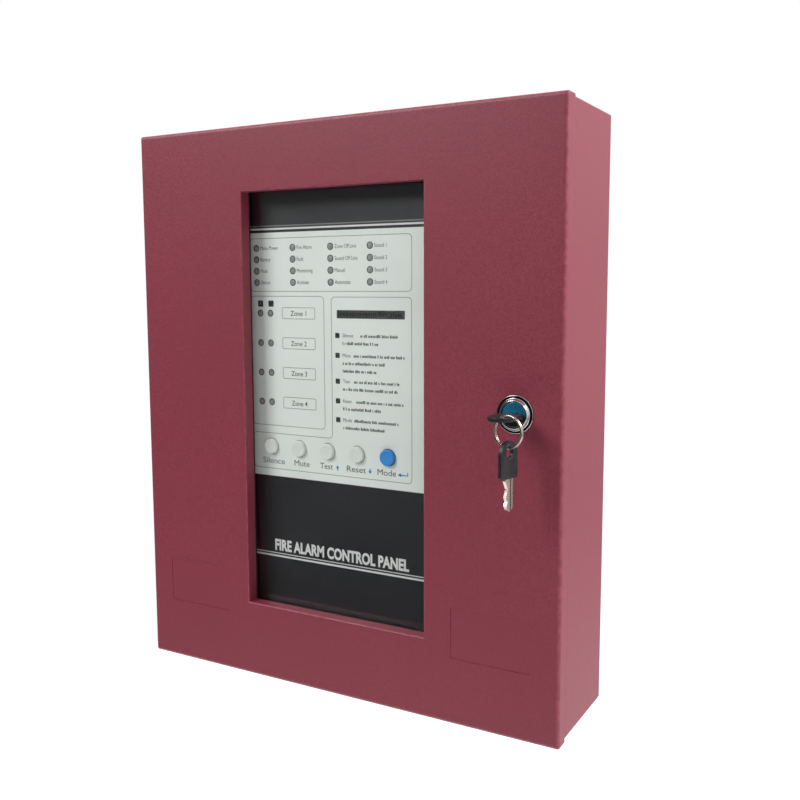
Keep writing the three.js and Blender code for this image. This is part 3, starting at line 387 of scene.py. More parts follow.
class Wiring:
    """A material being wired. `shader` is its Principled BSDF and `here` its Object coordinates."""

    def __init__(self, name, metal=0.0, rough=0.5, **sockets):
        self.material = bpy.data.materials.new(f"{name}_finish")
        self.material.use_nodes = True
        self.tree = self.material.node_tree
        self.tree.nodes.clear()
        self.end = self.add("OutputMaterial")
        self.shader = self.add("BsdfPrincipled")
        self.shader.inputs["Metallic"].default_value = metal
        self.shader.inputs["Roughness"].default_value = rough
        for socket, value in sockets.items():
            self.shader.inputs[socket.replace("_", " ")].default_value = value
        self.link(self.shader.outputs["BSDF"], self.end.inputs["Surface"])
        self.here = self.add("TexCoord").outputs["Object"]

    def add(self, kind, **settings):
        node = self.tree.nodes.new(f"ShaderNode{kind}")
        for key, value in settings.items():
            setattr(node, key, value)
        return node

    def link(self, start, end):
        self.tree.links.new(start, end)

    def feed(self, socket, value):
        """Puts a number, a colour or another node's output into a socket."""
        if isinstance(value, bpy.types.NodeSocket):
            self.link(value, socket)
        elif isinstance(value, tuple) and len(value) == 3 and socket.type == "RGBA":
            socket.default_value = (*value, 1)
        else:
            socket.default_value = value

    def noise(self, scale, detail=2.0, stretch=(1, 1, 1), shift=0.0):
        """Noise with `scale` features to the metre, stretched along an axis if asked."""
        mapping = self.add("Mapping")
        self.link(self.here, mapping.inputs["Vector"])
        mapping.inputs["Scale"].default_value = stretch
        mapping.inputs["Location"].default_value = (shift, shift / 2, shift / 3)
        node = self.add("TexNoise")
        self.link(mapping.outputs["Vector"], node.inputs["Vector"])
        node.inputs["Scale"].default_value = scale
        node.inputs["Detail"].default_value = detail
        return node.outputs["Fac"]

    def spread(self, value, low, high, start, end):
        """Carries the range low to high onto start to end."""
        node = self.add("MapRange")
        for socket, number in zip(node.inputs, (value, low, high, start, end)):
            self.feed(socket, number)
        return node.outputs["Result"]

    def maths(self, operation, *values):
        node = self.add("Math", operation=operation)
        for socket, value in zip(node.inputs, values):
            self.feed(socket, value)
        return node.outputs["Value"]

    def blend(self, share, a, b):
        """Colour a where share is 0, and b where it is 1."""
        node = self.add("Mix", data_type="RGBA")
        self.feed(node.inputs["Factor"], share)
        self.feed(node.inputs[6], a)
        self.feed(node.inputs[7], b)
        return node.outputs[2]

    def axes(self):
        """The x, y and z of the place."""
        node = self.add("SeparateXYZ")
        self.link(self.here, node.inputs["Vector"])
        return tuple(node.outputs)

    def relief(self, height, depth):
        """Adds a bump `depth` metres high on top of any earlier one."""
        node = self.add("Bump")
        node.inputs["Distance"].default_value = depth
        self.link(height, node.inputs["Height"])
        normal = self.shader.inputs["Normal"]
        if normal.is_linked:
            self.link(normal.links[0].from_socket, node.inputs["Normal"])
        self.link(node.outputs["Normal"], normal)

    def set(self, socket, value):
        self.feed(self.shader.inputs[socket], value)


def tinted(colour, factor):
    """A colour made lighter or darker."""
    return tuple(min(1.0, channel * factor) for channel in colour)


def plain(name, colour, rough, metal, tone, patch, grain, relief, stretch=(1, 1, 1), **sockets):
    """A finish that is even but not flat: cloudy tone, uneven gloss and a fine grain."""
    wiring = Wiring(name, metal=metal, **sockets)
    cloud = wiring.noise(patch, 3, shift=0.3)
    fine = wiring.noise(grain, 2, stretch, shift=0.7)
    shade = wiring.blend(
        wiring.spread(cloud, 0.3, 0.7, 0.0, 1.0),
        tinted(colour, 1 - tone), tinted(colour, 1 + tone),
    )
    speck = wiring.spread(fine, 0.35, 0.65, 0.0, 0.5)
    wiring.set("Base Color", wiring.blend(speck, shade, tinted(colour, 1 - tone / 2)))
    mottle = wiring.maths(
        "ADD", wiring.maths("MULTIPLY", cloud, 0.6), wiring.maths("MULTIPLY", fine, 0.4),
    )
    wiring.set("Roughness", wiring.spread(mottle, 0.35, 0.65, rough * 0.78, rough * 1.22))
    wiring.relief(fine, relief * MM)
    return wiring


# name: colour, roughness, metal, tone, clouds per metre, grains per metre, relief in mm
PLAIN_FINISHES = {
    "zinc_plate": (srgb(172, 174, 173), 0.33, 1.0, 0.16, 60, 900, 0.012),
    "black_plastic": (srgb(30, 31, 32), 0.40, 0.0, 0.16, 120, 2600, 0.020),
    "rubber": (srgb(22, 22, 23), 0.72, 0.0, 0.20, 90, 1700, 0.030),
    "grey_button": (srgb(232, 236, 231), 0.42, 0.0, 0.03, 180, 3000, 0.010),
    "blue_button": (srgb(56, 142, 222), 0.42, 0.0, 0.05, 180, 3000, 0.010),
    "terminal_green": (srgb(40, 128, 70), 0.45, 0.0, 0.10, 120, 2400, 0.015),
    "relay_case": (srgb(38, 88, 160), 0.35, 0.0, 0.08, 120, 2400, 0.012),
    "core_steel": (srgb(96, 92, 86), 0.50, 0.8, 0.20, 140, 600, 0.050),
    "battery_case": (srgb(44, 47, 50), 0.50, 0.0, 0.12, 60, 1900, 0.030),
    "black_wire": (srgb(20, 20, 20), 0.38, 0.0, 0.12, 200, 1500, 0.010),
    "red_wire": (srgb(172, 26, 24), 0.38, 0.0, 0.10, 200, 1500, 0.010),
}
STRETCHES = {
    "core_steel": (0.02, 1.6, 0.02),
    "zinc_plate": (1.0, 1.0, 0.35),
}


def red_coat(paint):
    """Powder coat: a fine pebbled skin over a slow waviness, thinner on the bends and lighter
    there, as edge wear and a painted highlight along the bends.
    """
    wiring = Wiring("red_paint", Specular_IOR_Level=0.5)
    grain = 1 / paint.grain
    cloud = wiring.noise(14, 4, shift=0.2)
    pebbles = wiring.noise(grain, 2, shift=0.5)
    specks = wiring.noise(grain * 2.7, 1, shift=0.9)
    colour = tuple(paint.colour)
    shade = wiring.blend(
        wiring.spread(cloud, 0.3, 0.7, 0, 1), tinted(colour, 0.95), tinted(colour, 1.05),
    )
    shade = wiring.blend(
        wiring.spread(pebbles, 0.36, 0.64, 0.0, 1.0), tinted(colour, 0.84), shade,
    )
    shade = wiring.blend(wiring.spread(specks, 0.62, 0.74, 0, 0.35), shade, srgb(186, 112, 124))
    # edge wear and painted highlight: the marked bends and the window's rounded edge turn a lighter
    # red
    edge = wiring.add("Attribute", attribute_name="edge").outputs["Fac"]
    wear_and_highlight = wiring.maths("MULTIPLY", edge, wiring.spread(wiring.noise(260, 3), 0.42, 0.6, 0.2, 0.6))
    wiring.set("Base Color", wiring.blend(wear_and_highlight, shade, srgb(184, 96, 112)))
    wiring.set("Roughness", wiring.spread(pebbles, 0.3, 0.7, 0.40, 0.56))
    wiring.relief(wiring.noise(grain / 6, 2, shift=1.3), 0.05 * MM)
    wiring.relief(pebbles, 0.06 * MM)
    return wiring


def metal(name, colour, rough, scratch, stretch):
    """Bright plating with hairline marks along one direction and slight dulling."""
    wiring = Wiring(name, metal=1.0)
    hairs = wiring.noise(scratch, 3, stretch)
    cloud = wiring.noise(170, 3, shift=0.4)
    wiring.set("Base Color", wiring.blend(
        wiring.spread(cloud, 0.35, 0.7, 0, 1), tinted(colour, 0.88), colour,
    ))
    wiring.set("Roughness", wiring.spread(hairs, 0.3, 0.75, rough * 0.6, rough * 1.7))
    wiring.relief(hairs, 0.004 * MM)
    return wiring


def lock_chrome():
    """Chrome on the rim, and a painted dark reflection of the door over the flange that leads to
    it.
    """
    wiring = metal("chrome", srgb(226, 229, 228), 0.10, 900, (1, 0.2, 1))
    x, _, z = wiring.axes()
    across = wiring.maths("SUBTRACT", x, LOCK_X)
    up = wiring.maths("SUBTRACT", z, LOCK_Z)
    radius = wiring.maths("SQRT", wiring.maths(
        "ADD", wiring.maths("MULTIPLY", across, across), wiring.maths("MULTIPLY", up, up),
    ))
    # painted reflection: the flange between these radii is coloured dark for the door it mirrors
    flange = wiring.spread(radius, 9.55 * MM, 9.75 * MM, 0, 1)
    edge = wiring.spread(radius, 11.05 * MM, 11.3 * MM, 1, 0)
    bright = wiring.shader.inputs["Base Color"].links[0].from_socket
    dark = wiring.maths("MULTIPLY", flange, edge)
    wiring.set("Base Color", wiring.blend(dark, bright, srgb(58, 52, 56)))
    return wiring


def lock_face(settings):
    """Lacquered blue face under a clear coat, with painted shade and a painted reflection of the
    inserted key in black over its lower half.
    """
    wiring = Wiring("blue_lock_face", metal=0.3, Coat_Weight=0.9, Coat_Roughness=0.06)
    _, _, z = wiring.axes()
    # painted shade and reflection of the key: black below the lock's middle, with a wavy edge
    wavy = wiring.maths("MULTIPLY", wiring.noise(160, 2), 1.6 * MM)
    height = wiring.maths("ADD", wiring.maths("SUBTRACT", z, LOCK_Z), wavy)
    low = wiring.spread(height, -0.6 * MM, 1.6 * MM, 0, 1)
    shade = wiring.blend(
        wiring.spread(wiring.noise(240, 3), 0.35, 0.65, 0, 1),
        tinted(tuple(settings.face), 0.8), tinted(tuple(settings.face), 1.25),
    )
    wiring.set("Base Color", wiring.blend(low, srgb(14, 18, 22), shade))
    wiring.set("Roughness", wiring.spread(wiring.noise(700, 2), 0.35, 0.65, 0.16, 0.30))
    wiring.relief(wiring.noise(420, 2), 0.02 * MM)
    return wiring


def clear_pane():
    """Clear acrylic with faint smears. Lamps and bounced light pass it straight."""
    wiring = Wiring("clear_pane", IOR=1.49, Transmission_Weight=1.0)
    wiring.set("Base Color", (0.985, 0.99, 0.988))
    smears = wiring.noise(26, 4, (1, 1, 0.4))
    wiring.set("Roughness", wiring.spread(smears, 0.4, 0.75, 0.012, 0.05))
    path = wiring.add("LightPath")
    straight = wiring.add("BsdfTransparent")
    straight.inputs["Color"].default_value = (0.95, 0.96, 0.955, 1)
    passing = wiring.maths(
        "MAXIMUM", path.outputs["Is Shadow Ray"], path.outputs["Is Diffuse Ray"],
    )
    mixed = wiring.add("MixShader")
    wiring.link(passing, mixed.inputs[0])
    wiring.link(wiring.shader.outputs["BSDF"], mixed.inputs[1])
    wiring.link(straight.outputs["BSDF"], mixed.inputs[2])
    wiring.link(mixed.outputs["Shader"], wiring.end.inputs["Surface"])
    return wiring


FIELD_TOP = 120.0 * MM                   # the pale field of the front sheet
FIELD_BOTTOM = -48.5 * MM


def printed_sheet(print_set):
    """Satin printed film: a pale field between two black bands."""
    wiring = Wiring("printed_sheet", Coat_Weight=0.25, Coat_Roughness=0.3)
    _, _, z = wiring.axes()
    cloud = wiring.noise(22, 3)
    fine = wiring.noise(2600, 1)
    field = tuple(print_set.field)
    shade = wiring.blend(
        wiring.spread(cloud, 0.3, 0.7, 0, 1), tinted(field, 0.97), tinted(field, 1.03),
    )
    shade = wiring.blend(wiring.spread(fine, 0.3, 0.7, 0, 0.12), shade, tinted(field, 0.8))
    dark = wiring.blend(
        wiring.spread(fine, 0.35, 0.65, 0, 1),
        tinted(tuple(print_set.black), 0.8), tinted(tuple(print_set.black), 1.3),
    )
    above = wiring.maths("GREATER_THAN", z, FIELD_TOP)
    below = wiring.maths("LESS_THAN", z, FIELD_BOTTOM)
    wiring.set("Base Color", wiring.blend(wiring.maths("MAXIMUM", above, below), shade, dark))
    wiring.set("Roughness", wiring.spread(cloud, 0.3, 0.7, 0.36, 0.48))
    wiring.relief(wiring.noise(900, 2), 0.006 * MM)
    return wiring


def circuit_board():
    """Green solder mask with copper tracks under it, as a pattern of offset bars and vias."""
    wiring = Wiring("circuit_board", Coat_Weight=0.3, Coat_Roughness=0.25)
    turned_plane = wiring.add("Mapping")
    wiring.link(wiring.here, turned_plane.inputs["Vector"])
    turned_plane.inputs["Rotation"].default_value = (math.pi / 2, 0, 0)
    tracks = wiring.add("TexBrick", offset=0.37)
    wiring.link(turned_plane.outputs["Vector"], tracks.inputs["Vector"])
    for socket, value in (
        ("Scale", 95), ("Mortar Size", 0.035), ("Brick Width", 1.7), ("Row Height", 0.3),
    ):
        tracks.inputs[socket].default_value = value
    wiring.feed(tracks.inputs["Color1"], srgb(26, 92, 52))
    wiring.feed(tracks.inputs["Color2"], srgb(34, 104, 60))
    wiring.feed(tracks.inputs["Mortar"], srgb(60, 136, 80))
    vias = wiring.add("TexVoronoi")
    wiring.link(wiring.here, vias.inputs["Vector"])
    vias.inputs["Scale"].default_value = 260
    via = wiring.spread(vias.outputs["Distance"], 0.10, 0.14, 1, 0)
    wiring.set("Base Color", wiring.blend(via, tracks.outputs["Color"], srgb(196, 190, 160)))
    wiring.set("Roughness", wiring.spread(wiring.noise(90, 2), 0.3, 0.7, 0.28, 0.45))
    wiring.relief(tracks.outputs["Fac"], 0.03 * MM)
    return wiring


def striped(name, colour, other, rough, per_metre, axis, relief):
    """Fine parallel stripes across an axis, as on a flat cable or wound tape."""
    wiring = Wiring(name)
    place = wiring.axes()[axis]
    wave = wiring.maths("SINE", wiring.maths("MULTIPLY", place, 2 * math.pi * per_metre))
    share = wiring.spread(wave, -0.9, 0.9, 0, 1)
    patch = wiring.spread(wiring.noise(90, 3), 0.3, 0.7, 0.0, 0.25)
    wiring.set("Base Color", wiring.blend(patch, wiring.blend(share, other, colour), other))
    wiring.set("Roughness", wiring.spread(wiring.noise(600, 2), 0.3, 0.7, rough * 0.8, rough * 1.2))
    wiring.relief(share, relief * MM)
    return wiring


def light_lens():
    """Frosted lens of an unlit indicator, milky in the middle."""
    wiring = plain("light_guide", srgb(150, 154, 150), 0.30, 0.0, 0.10, 900, 4000, 0.006)
    wiring.shader.inputs["Coat Weight"].default_value = 0.5
    return wiring


def fuse_glass():
    """Glass barrel and plated ends of the fuse, on a pale holder."""
    return plain("fuse_glass", srgb(206, 208, 200), 0.18, 0.1, 0.10, 300, 1500, 0.008)


def ink(name, colour, rough=0.45):
    """Screen-printed ink: nearly even, with the fine break-up of the mesh it went through."""
    return plain(name, colour, rough, 0.0, 0.05, 120, 5200, 0.004)


def finish(name):
    """The material of that name, made the first time it is asked for."""
    if f"{name}_finish" in bpy.data.materials:
        return bpy.data.materials[f"{name}_finish"]
    scene = bpy.context.scene
    special = {
        "red_paint": lambda: red_coat(scene.alarm_paint),
        "chrome": lock_chrome,
        "nickel": lambda: metal("nickel", srgb(214, 200, 190), 0.20, 700, (1, 1, 0.15)),
        "blue_lock_face": lambda: lock_face(scene.alarm_lock),
        "clear_pane": clear_pane,
        "printed_sheet": lambda: printed_sheet(scene.alarm_print),
        "circuit_board": circuit_board,
        "light_guide": light_lens,
        "ribbon_grey": lambda: striped(
            "ribbon_grey", srgb(168, 170, 172), srgb(112, 114, 118), 0.5, 790, 0, 0.25),
        "coil_tape": lambda: striped(
            "coil_tape", srgb(206, 170, 60), srgb(170, 132, 36), 0.4, 110, 2, 0.12),
        "fuse_glass": fuse_glass,
        "dark_ink": lambda: ink("dark_ink", srgb(52, 58, 58)),
        "white_ink": lambda: ink("white_ink", srgb(228, 230, 228)),
        "grey_ink": lambda: ink("grey_ink", srgb(120, 124, 122)),
        "blue_ink": lambda: ink("blue_ink", srgb(52, 120, 190)),
    }
    if name in special:
        return special[name]().material
    return plain(name, *PLAIN_FINISHES[name], stretch=STRETCHES.get(name, (1, 1, 1))).material


def refinish(node, name=None):
    """Gives a CAD node, whose own shape stays, its finish."""
    thing = frame["nodes"][node]
    thing.data.materials.clear()
    thing.data.materials.append(finish(name or SLOT_OF[node]))


def copy_nodes(nodes, bevel=0.15 * MM, angle=32):
    """Finished copies of CAD nodes, each with the finish of its own slot."""
    for node in nodes:
        finished_copy(node, finish(SLOT_OF[node]), bevel=bevel, angle=angle)


# ---------- folded steel ----------

def door_rings(bend):
    """The door's folded section, carried round the outline: rim, bend, front, the rounded edge of
    the window, its folded reveal, and back along the inside to the rim. A bend is
    inset = r (1 - cos a), y = front + r (1 - sin a). Each ring ends with its edge mark."""
    width = DOOR_HIGH.x - DOOR_LOW.x
    height = DOOR_HIGH.z - DOOR_LOW.z
    rear = DOOR_HIGH.y if DOOR_HIGH.y < FRONT + 12 * MM else FRONT + 11 * MM
    rings = []

    def outer(inset, y, mark=0.0):
        rings.append((width - 2 * inset, height - 2 * inset, CORNER, 0, y, mark))

    def window(out, y, mark=0.0, radius=0.6 * MM):
        rings.append((
            WINDOW_W + 2 * out, WINDOW_H + 2 * out, radius + max(out, 0) * 0.6, WINDOW_Z, y, mark,
        ))

    outer(STEEL, rear)
    outer(0.15 * MM, rear, 0.8)
    outer(0, rear - 0.15 * MM, 0.8)
    outer(0, rear - 0.8 * MM)
    outer(0, FRONT + bend + 0.6 * MM)
    # edge marks: the paint lightens these bends as wear and painted highlight
    for angle in arc(0, 90, 8):
        mark = 0.7 * math.sin(2 * angle)
        outer(bend * (1 - math.cos(angle)), FRONT + bend * (1 - math.sin(angle)), mark)
    outer(bend + 0.6 * MM, FRONT)
    edge = 0.9 * MM
    window(edge + 0.6 * MM, FRONT)
    # the strongest mark, on the window's rounded front edge: painted highlight with wear
    for angle in arc(90, 0, 6):
        mark = 0.9 * math.sin(2 * angle)
        window(edge * (1 - math.cos(angle)), FRONT + edge * (1 - math.sin(angle)), mark)
    window(0, FRONT + REVEAL - 0.3 * MM)
    window(0.2 * MM, FRONT + REVEAL, 0.5)
    window(STEEL, FRONT + REVEAL)
    window(STEEL, FRONT + STEEL)
    inside = bend - STEEL
    for angle in arc(90, 0, 4):
        outer(
            STEEL + inside * (1 - math.cos(angle)), FRONT + STEEL + inside * (1 - math.sin(angle)),
        )
    return rings


def marked_rings(name, rings, **options):
    """A body through rings that carry their edge marks."""
    mark = np.array([ring[-1] for ring in rings])
    return rings_surface(name, [ring[:-1] for ring in rings], mark=mark, **options)


LABELS = ((-115 * MM, -131 * MM), (115 * MM, -131 * MM))
LABEL_SIZE = (53 * MM, 32.5 * MM, 0.35 * MM)


def draw_door(bend):
    """The door skin, with its two shallow label recesses and the hole for the lock."""
    piece = marked_rings("door_skin", door_rings(bend), close_rows=True)
    width, height, depth = LABEL_SIZE
    cutters = []
    for x, z in LABELS:
        outline = rounded_outline(width, height, 0.8 * MM, 3) + [x, z]
        cutters.append(prism("recess", outline, FRONT - 2 * MM, FRONT + depth))
    hole = circle_outline(8.3 * MM, LOCK_X, LOCK_Z, 64)
    cutters.append(prism("lock_hole", hole, FRONT - 2 * MM, FRONT + 3 * MM))
    cut(piece, cutters)
    clear_marks(piece)
    return smooth(piece, angle=35, bevel=0.12 * MM)


def clear_marks(piece):
    """No lightened edge, worn and with painted highlight, inside the label recesses, where the cut
    spreads the marks of the bends.
    """
    edge = piece.data.attributes["edge"]
    count = len(piece.data.vertices)
    points = np.empty(count * 3, dtype=np.float32)
    piece.data.vertices.foreach_get("co", points)
    points = points.reshape(-1, 3)
    marks = np.empty(count, dtype=np.float32)
    edge.data.foreach_get("value", marks)
    for x, z in LABELS:
        across = np.abs(points[:, 0] - x) < LABEL_SIZE[0] / 2 + 0.1 * MM
        along = np.abs(points[:, 2] - z) < LABEL_SIZE[1] / 2 + 0.1 * MM
        marks[across & along] = 0
    edge.data.foreach_set("value", marks)


def case_rings(bend):
    """The case's folded section: middle of the inner back, inner bend, walls, the inward lip round
    the mouth, outer walls, rear bend, and the back."""
    width = CASE_HIGH.x - CASE_LOW.x
    height = CASE_HIGH.z - CASE_LOW.z
    mouth_y = CASE_LOW.y
    inside = bend - STEEL
    lip = 12 * MM
    soft = 2.4 * MM
    rings = []

    def at(inset, y, mark=0.0, radius=CORNER):
        rings.append((width - 2 * inset, height - 2 * inset, radius, 0, y, mark))

    # edge marks on the lip and the bends: the paint lightens them as wear and painted highlight
    for angle in arc(90, 0, 5):
        at(STEEL + inside * (1 - math.cos(angle)), -STEEL - inside * (1 - math.sin(angle)))
    at(STEEL, mouth_y + STEEL)
    at(lip, mouth_y + STEEL, 0.0, 3 * MM)
    at(lip, mouth_y, 0.6, 3 * MM)
    for angle in arc(90, 0, 5):
        at(soft * (1 - math.cos(angle)), mouth_y + soft * (1 - math.sin(angle)),
           0.6 * math.sin(2 * angle))
    at(0, mouth_y + 3 * MM)
    at(0, -bend - MM)
    for angle in arc(0, 90, 10):
        at(bend * (1 - math.cos(angle)), -bend * (1 - math.sin(angle)),
           0.5 * math.sin(2 * angle))
    return rings


KEYHOLE = (128 * MM, 150 * MM)


def draw_case(bend):
    """The case on the wall, with keyholes above, round holes below and two cable entries."""
    piece = marked_rings("case_skin", case_rings(bend), caps=True)
    cutters = []
    for x in (-KEYHOLE[0], KEYHOLE[0]):
        slot = rounded_outline(4.8 * MM, 12.8 * MM, 2.4 * MM) + [x, KEYHOLE[1] - 4 * MM]
        head = circle_outline(4.5 * MM, x, KEYHOLE[1] - 8 * MM, 40)
        low = circle_outline(3 * MM, x, -KEYHOLE[1], 32)
        cutters += [prism("slot", outline, -3 * MM, 2 * MM) for outline in (slot, head, low)]
    for node in ("cable_grommet_1", "cable_grommet_2"):
        low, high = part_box(node)
        middle = ((low.x + high.x) / 2, (low.y + high.y) / 2, CASE_HIGH.z)
        profile = [(11 * MM, -3 * MM), (11 * MM, 2 * MM)]
        cutters.append(turned("entry", profile, middle, "Z", 64))
    cut(piece, cutters)
    return smooth(piece, angle=35)


def draw_grommet(node, number):
    """Blanked rubber grommet: a lip outside, a groove for the sheet, and a thin dished web."""
    low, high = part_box(node)
    middle = ((low.x + high.x) / 2, (low.y + high.y) / 2, CASE_HIGH.z)
    outline = filleted(np.array([
        (0, -2.2), (10.7, -2.2), (13, -2.8), (13, -1.5), (10.7, -1.5), (10.7, 0.3),
        (13.5, 0.3), (13.5, 1.0), (12.4, 1.8), (8.6, 1.8), (7.4, 0.5), (0, 0.3),
    ]) * MM, 0.45 * MM)
    piece = turned(f"rubber_grommet_{number}", outline, middle, "Z", 72)
    return smooth(piece, 40)


# ---------- front sheet and its print ----------

def rounded_polygon(corners, radius, inset=0.0, steps=5):
    """A right-angled outline with round corners, moved inwards by `inset`. At a corner p with
    arriving direction u and leaving direction v, a point is
    p + r (v - u) - r v cos t + r u sin t, where r grows by the inset on inner corners."""
    p = np.array(corners, float)
    leaving = np.roll(p, -1, axis=0) - p
    leaving /= np.linalg.norm(leaving, axis=1, keepdims=True)
    arriving = np.roll(leaving, 1, axis=0)
    normal_in = np.stack([-arriving[:, 1], arriving[:, 0]], axis=1)
    normal_out = np.stack([-leaving[:, 1], leaving[:, 0]], axis=1)
    turn = np.sign(arriving[:, 0] * leaving[:, 1] - arriving[:, 1] * leaving[:, 0])
    corner = p + inset * (normal_in + normal_out)
    r = (radius - turn * inset)[:, None, None]
    t = arc(0, 90, steps)[None, :, None]
    u, v = arriving[:, None], leaving[:, None]
    points = corner[:, None] + r * (v - u) - r * v * np.cos(t) + r * u * np.sin(t)
    return points.reshape(-1, 2)


class Printing:
    """Collects printed shapes by ink. Each is a thin solid on the face of the front sheet."""

    def __init__(self, thickness):
        self.back = SHEET_FACE
        self.face = SHEET_FACE - thickness
        self.shapes = {}
        self.sample = self.letters("H")
        self.cap = float(np.ptp(self.sample[0][:, 1]))

    def keep(self, colour, piece):
        self.shapes.setdefault(colour, []).append(piece)

    def frame(self, colour, corners, radius, line):
        """An outline drawn as a line of even width: two outlines joined front and back."""
        corners = np.array(corners) * MM
        outer = rounded_polygon(corners, radius * MM)
        inner = rounded_polygon(corners, radius * MM, line * MM)
        rows = [
            standing(outer, self.back), standing(outer, self.face),
            standing(inner, self.face), standing(inner, self.back),
        ]
        self.keep(colour, surface("line", np.array(rows), close_rows=True))

    def box(self, colour, x0, x1, z0, z1, radius, line):
        self.frame(colour, [(x0, z0), (x1, z0), (x1, z1), (x0, z1)], radius, line)

    def patch(self, colour, x0, x1, z0, z1, radius=0.3):
        """A filled rectangle with round corners."""
        outline = rounded_outline((x1 - x0) * MM, (z1 - z0) * MM, radius * MM, 4)
        middle = [(x0 + x1) / 2 * MM, (z0 + z1) / 2 * MM]
        self.keep(colour, prism("patch", outline + middle, self.face, self.back))

    def shape(self, colour, x, z, outline):
        """A filled outline in mm about a place."""
        self.keep(colour, prism("shape", (np.array(outline) + [x, z]) * MM, self.face, self.back))

    def strokes(self, colour, boxes):
        """Many small upright blocks at once, each given by x0, x1, z0 and z1 in mm."""
        x0, x1, z0, z1 = np.array(boxes, float).T[:, :, None] * MM
        x = np.concatenate([x0, x1, x1, x0, x0, x1, x1, x0], axis=1)
        z = np.concatenate([z0, z0, z1, z1, z0, z0, z1, z1], axis=1)
        y = np.broadcast_to([self.face] * 4 + [self.back] * 4, x.shape)
        points = np.stack([x, y, z], axis=-1).reshape(-1, 3)
        sides = np.array([
            [0, 1, 2, 3], [7, 6, 5, 4], [4, 5, 1, 0], [5, 6, 2, 1], [6, 7, 3, 2], [7, 4, 0, 3],
        ])
        faces = (np.arange(len(x))[:, None, None] * 8 + sides).reshape(-1, 4)
        mesh = bpy.data.meshes.new("strokes")
        mesh.from_pydata(points, [], faces.tolist())
        outward(mesh)
        self.keep(colour, new_object("strokes", mesh))

    def letters(self, text, weight=0.0):
        """Points and faces of some lettering, one unit high and one deep."""
        curve = bpy.data.curves.new("letters", "FONT")
        curve.body = text
        curve.resolution_u = 3
        curve.offset = weight
        curve.extrude = 0.5
        writing = new_object("letters", curve)
        graph = bpy.context.evaluated_depsgraph_get()
        mesh = bpy.data.meshes.new_from_object(writing.evaluated_get(graph))
        points = np.empty(len(mesh.vertices) * 3, np.float32)
        mesh.vertices.foreach_get("co", points)
        bpy.data.objects.remove(writing)
        bpy.data.curves.remove(curve)
        return points.reshape(-1, 3).astype(float), mesh

    def write(self, colour, text, left, z, cap, right=None, weight=0.0, narrow=0.88):
        """Lettering on a baseline at z, with capitals `cap` mm high, fitted between left and right
        if right is given. A letter's point (x, y) goes to left + x scale, z + y scale."""
        points, mesh = self.letters(text, weight)
        up = cap / self.cap
        start = points[:, 0].min()
        across = up * narrow if right is None else (right - left) / float(np.ptp(points[:, 0]))
        placed = np.stack([
            (left + (points[:, 0] - start) * across) * MM,
            self.back + (self.face - self.back) * (points[:, 2] + 0.5),
            (z + points[:, 1] * up) * MM,
        ], axis=1)
        mesh.vertices.foreach_set("co", placed.astype(np.float32).ravel())
        work = bmesh.new()
        work.from_mesh(mesh)
        bmesh.ops.remove_doubles(work, verts=work.verts, dist=1e-7)
        work.to_mesh(mesh)
        work.free()
        self.keep(colour, new_object("writing", mesh))

    def finish(self):
        bpy.data.meshes.remove(self.sample[1])
        for colour, shapes in self.shapes.items():
            piece = joined(f"print_{colour}", shapes)
            place(piece, finish(f"{colour}_ink"), "box", "printed_sheet")


ARROW = [(-1.1, 0.2), (0, -1.6), (1.1, 0.2), (0.35, 0.2), (0.35, 1.6), (-0.35, 1.6), (-0.35, 0.2)]
STATUS_WORDS = (
    ("Mains Power", "Battery", "Mute", "Silence"),
    ("Fire Alarm", "Fault", "Monitoring", "Activate"),
    ("Zone Off Line", "Sound Off Line", "Manual", "Automatic"),
    ("Sound 1", "Sound 2", "Sound 3", "Sound 4"),
)
BUTTON_WORDS = (
    ("Silence", -66.5, -47.8), ("Mute", -39.5, -26.8), ("Test", -18.1, -7.7),
    ("Reset", 3.5, 18.5), ("Mode", 27.4, 41.4),
)
STEP_WORDS = ("Silence", "Mute", "Test", "Reset", "Mode")
STEP_HEIGHTS = (51.1, 37.9, 20.7, 7.5, -5.2)
STEP_LINES = (2, 3, 2, 2, 2)


def greeked(draw, left, right, z):
    """Places of the strokes of one line of stand-in words: letters of random width and height."""
    widths = draw.uniform(0.42, 0.95, 80)
    gaps = np.where(draw.random(80) < 0.19, 1.1, 0.28)
    ends = np.cumsum(widths + gaps)
    x0 = left + ends - widths - gaps
    tall = np.where(draw.random(80) < 0.28, 2.0, 1.45)
    keep = x0 + widths < right
    base = np.full(80, z)
    return np.stack([x0, x0 + widths, base, base + tall], axis=1)[keep]


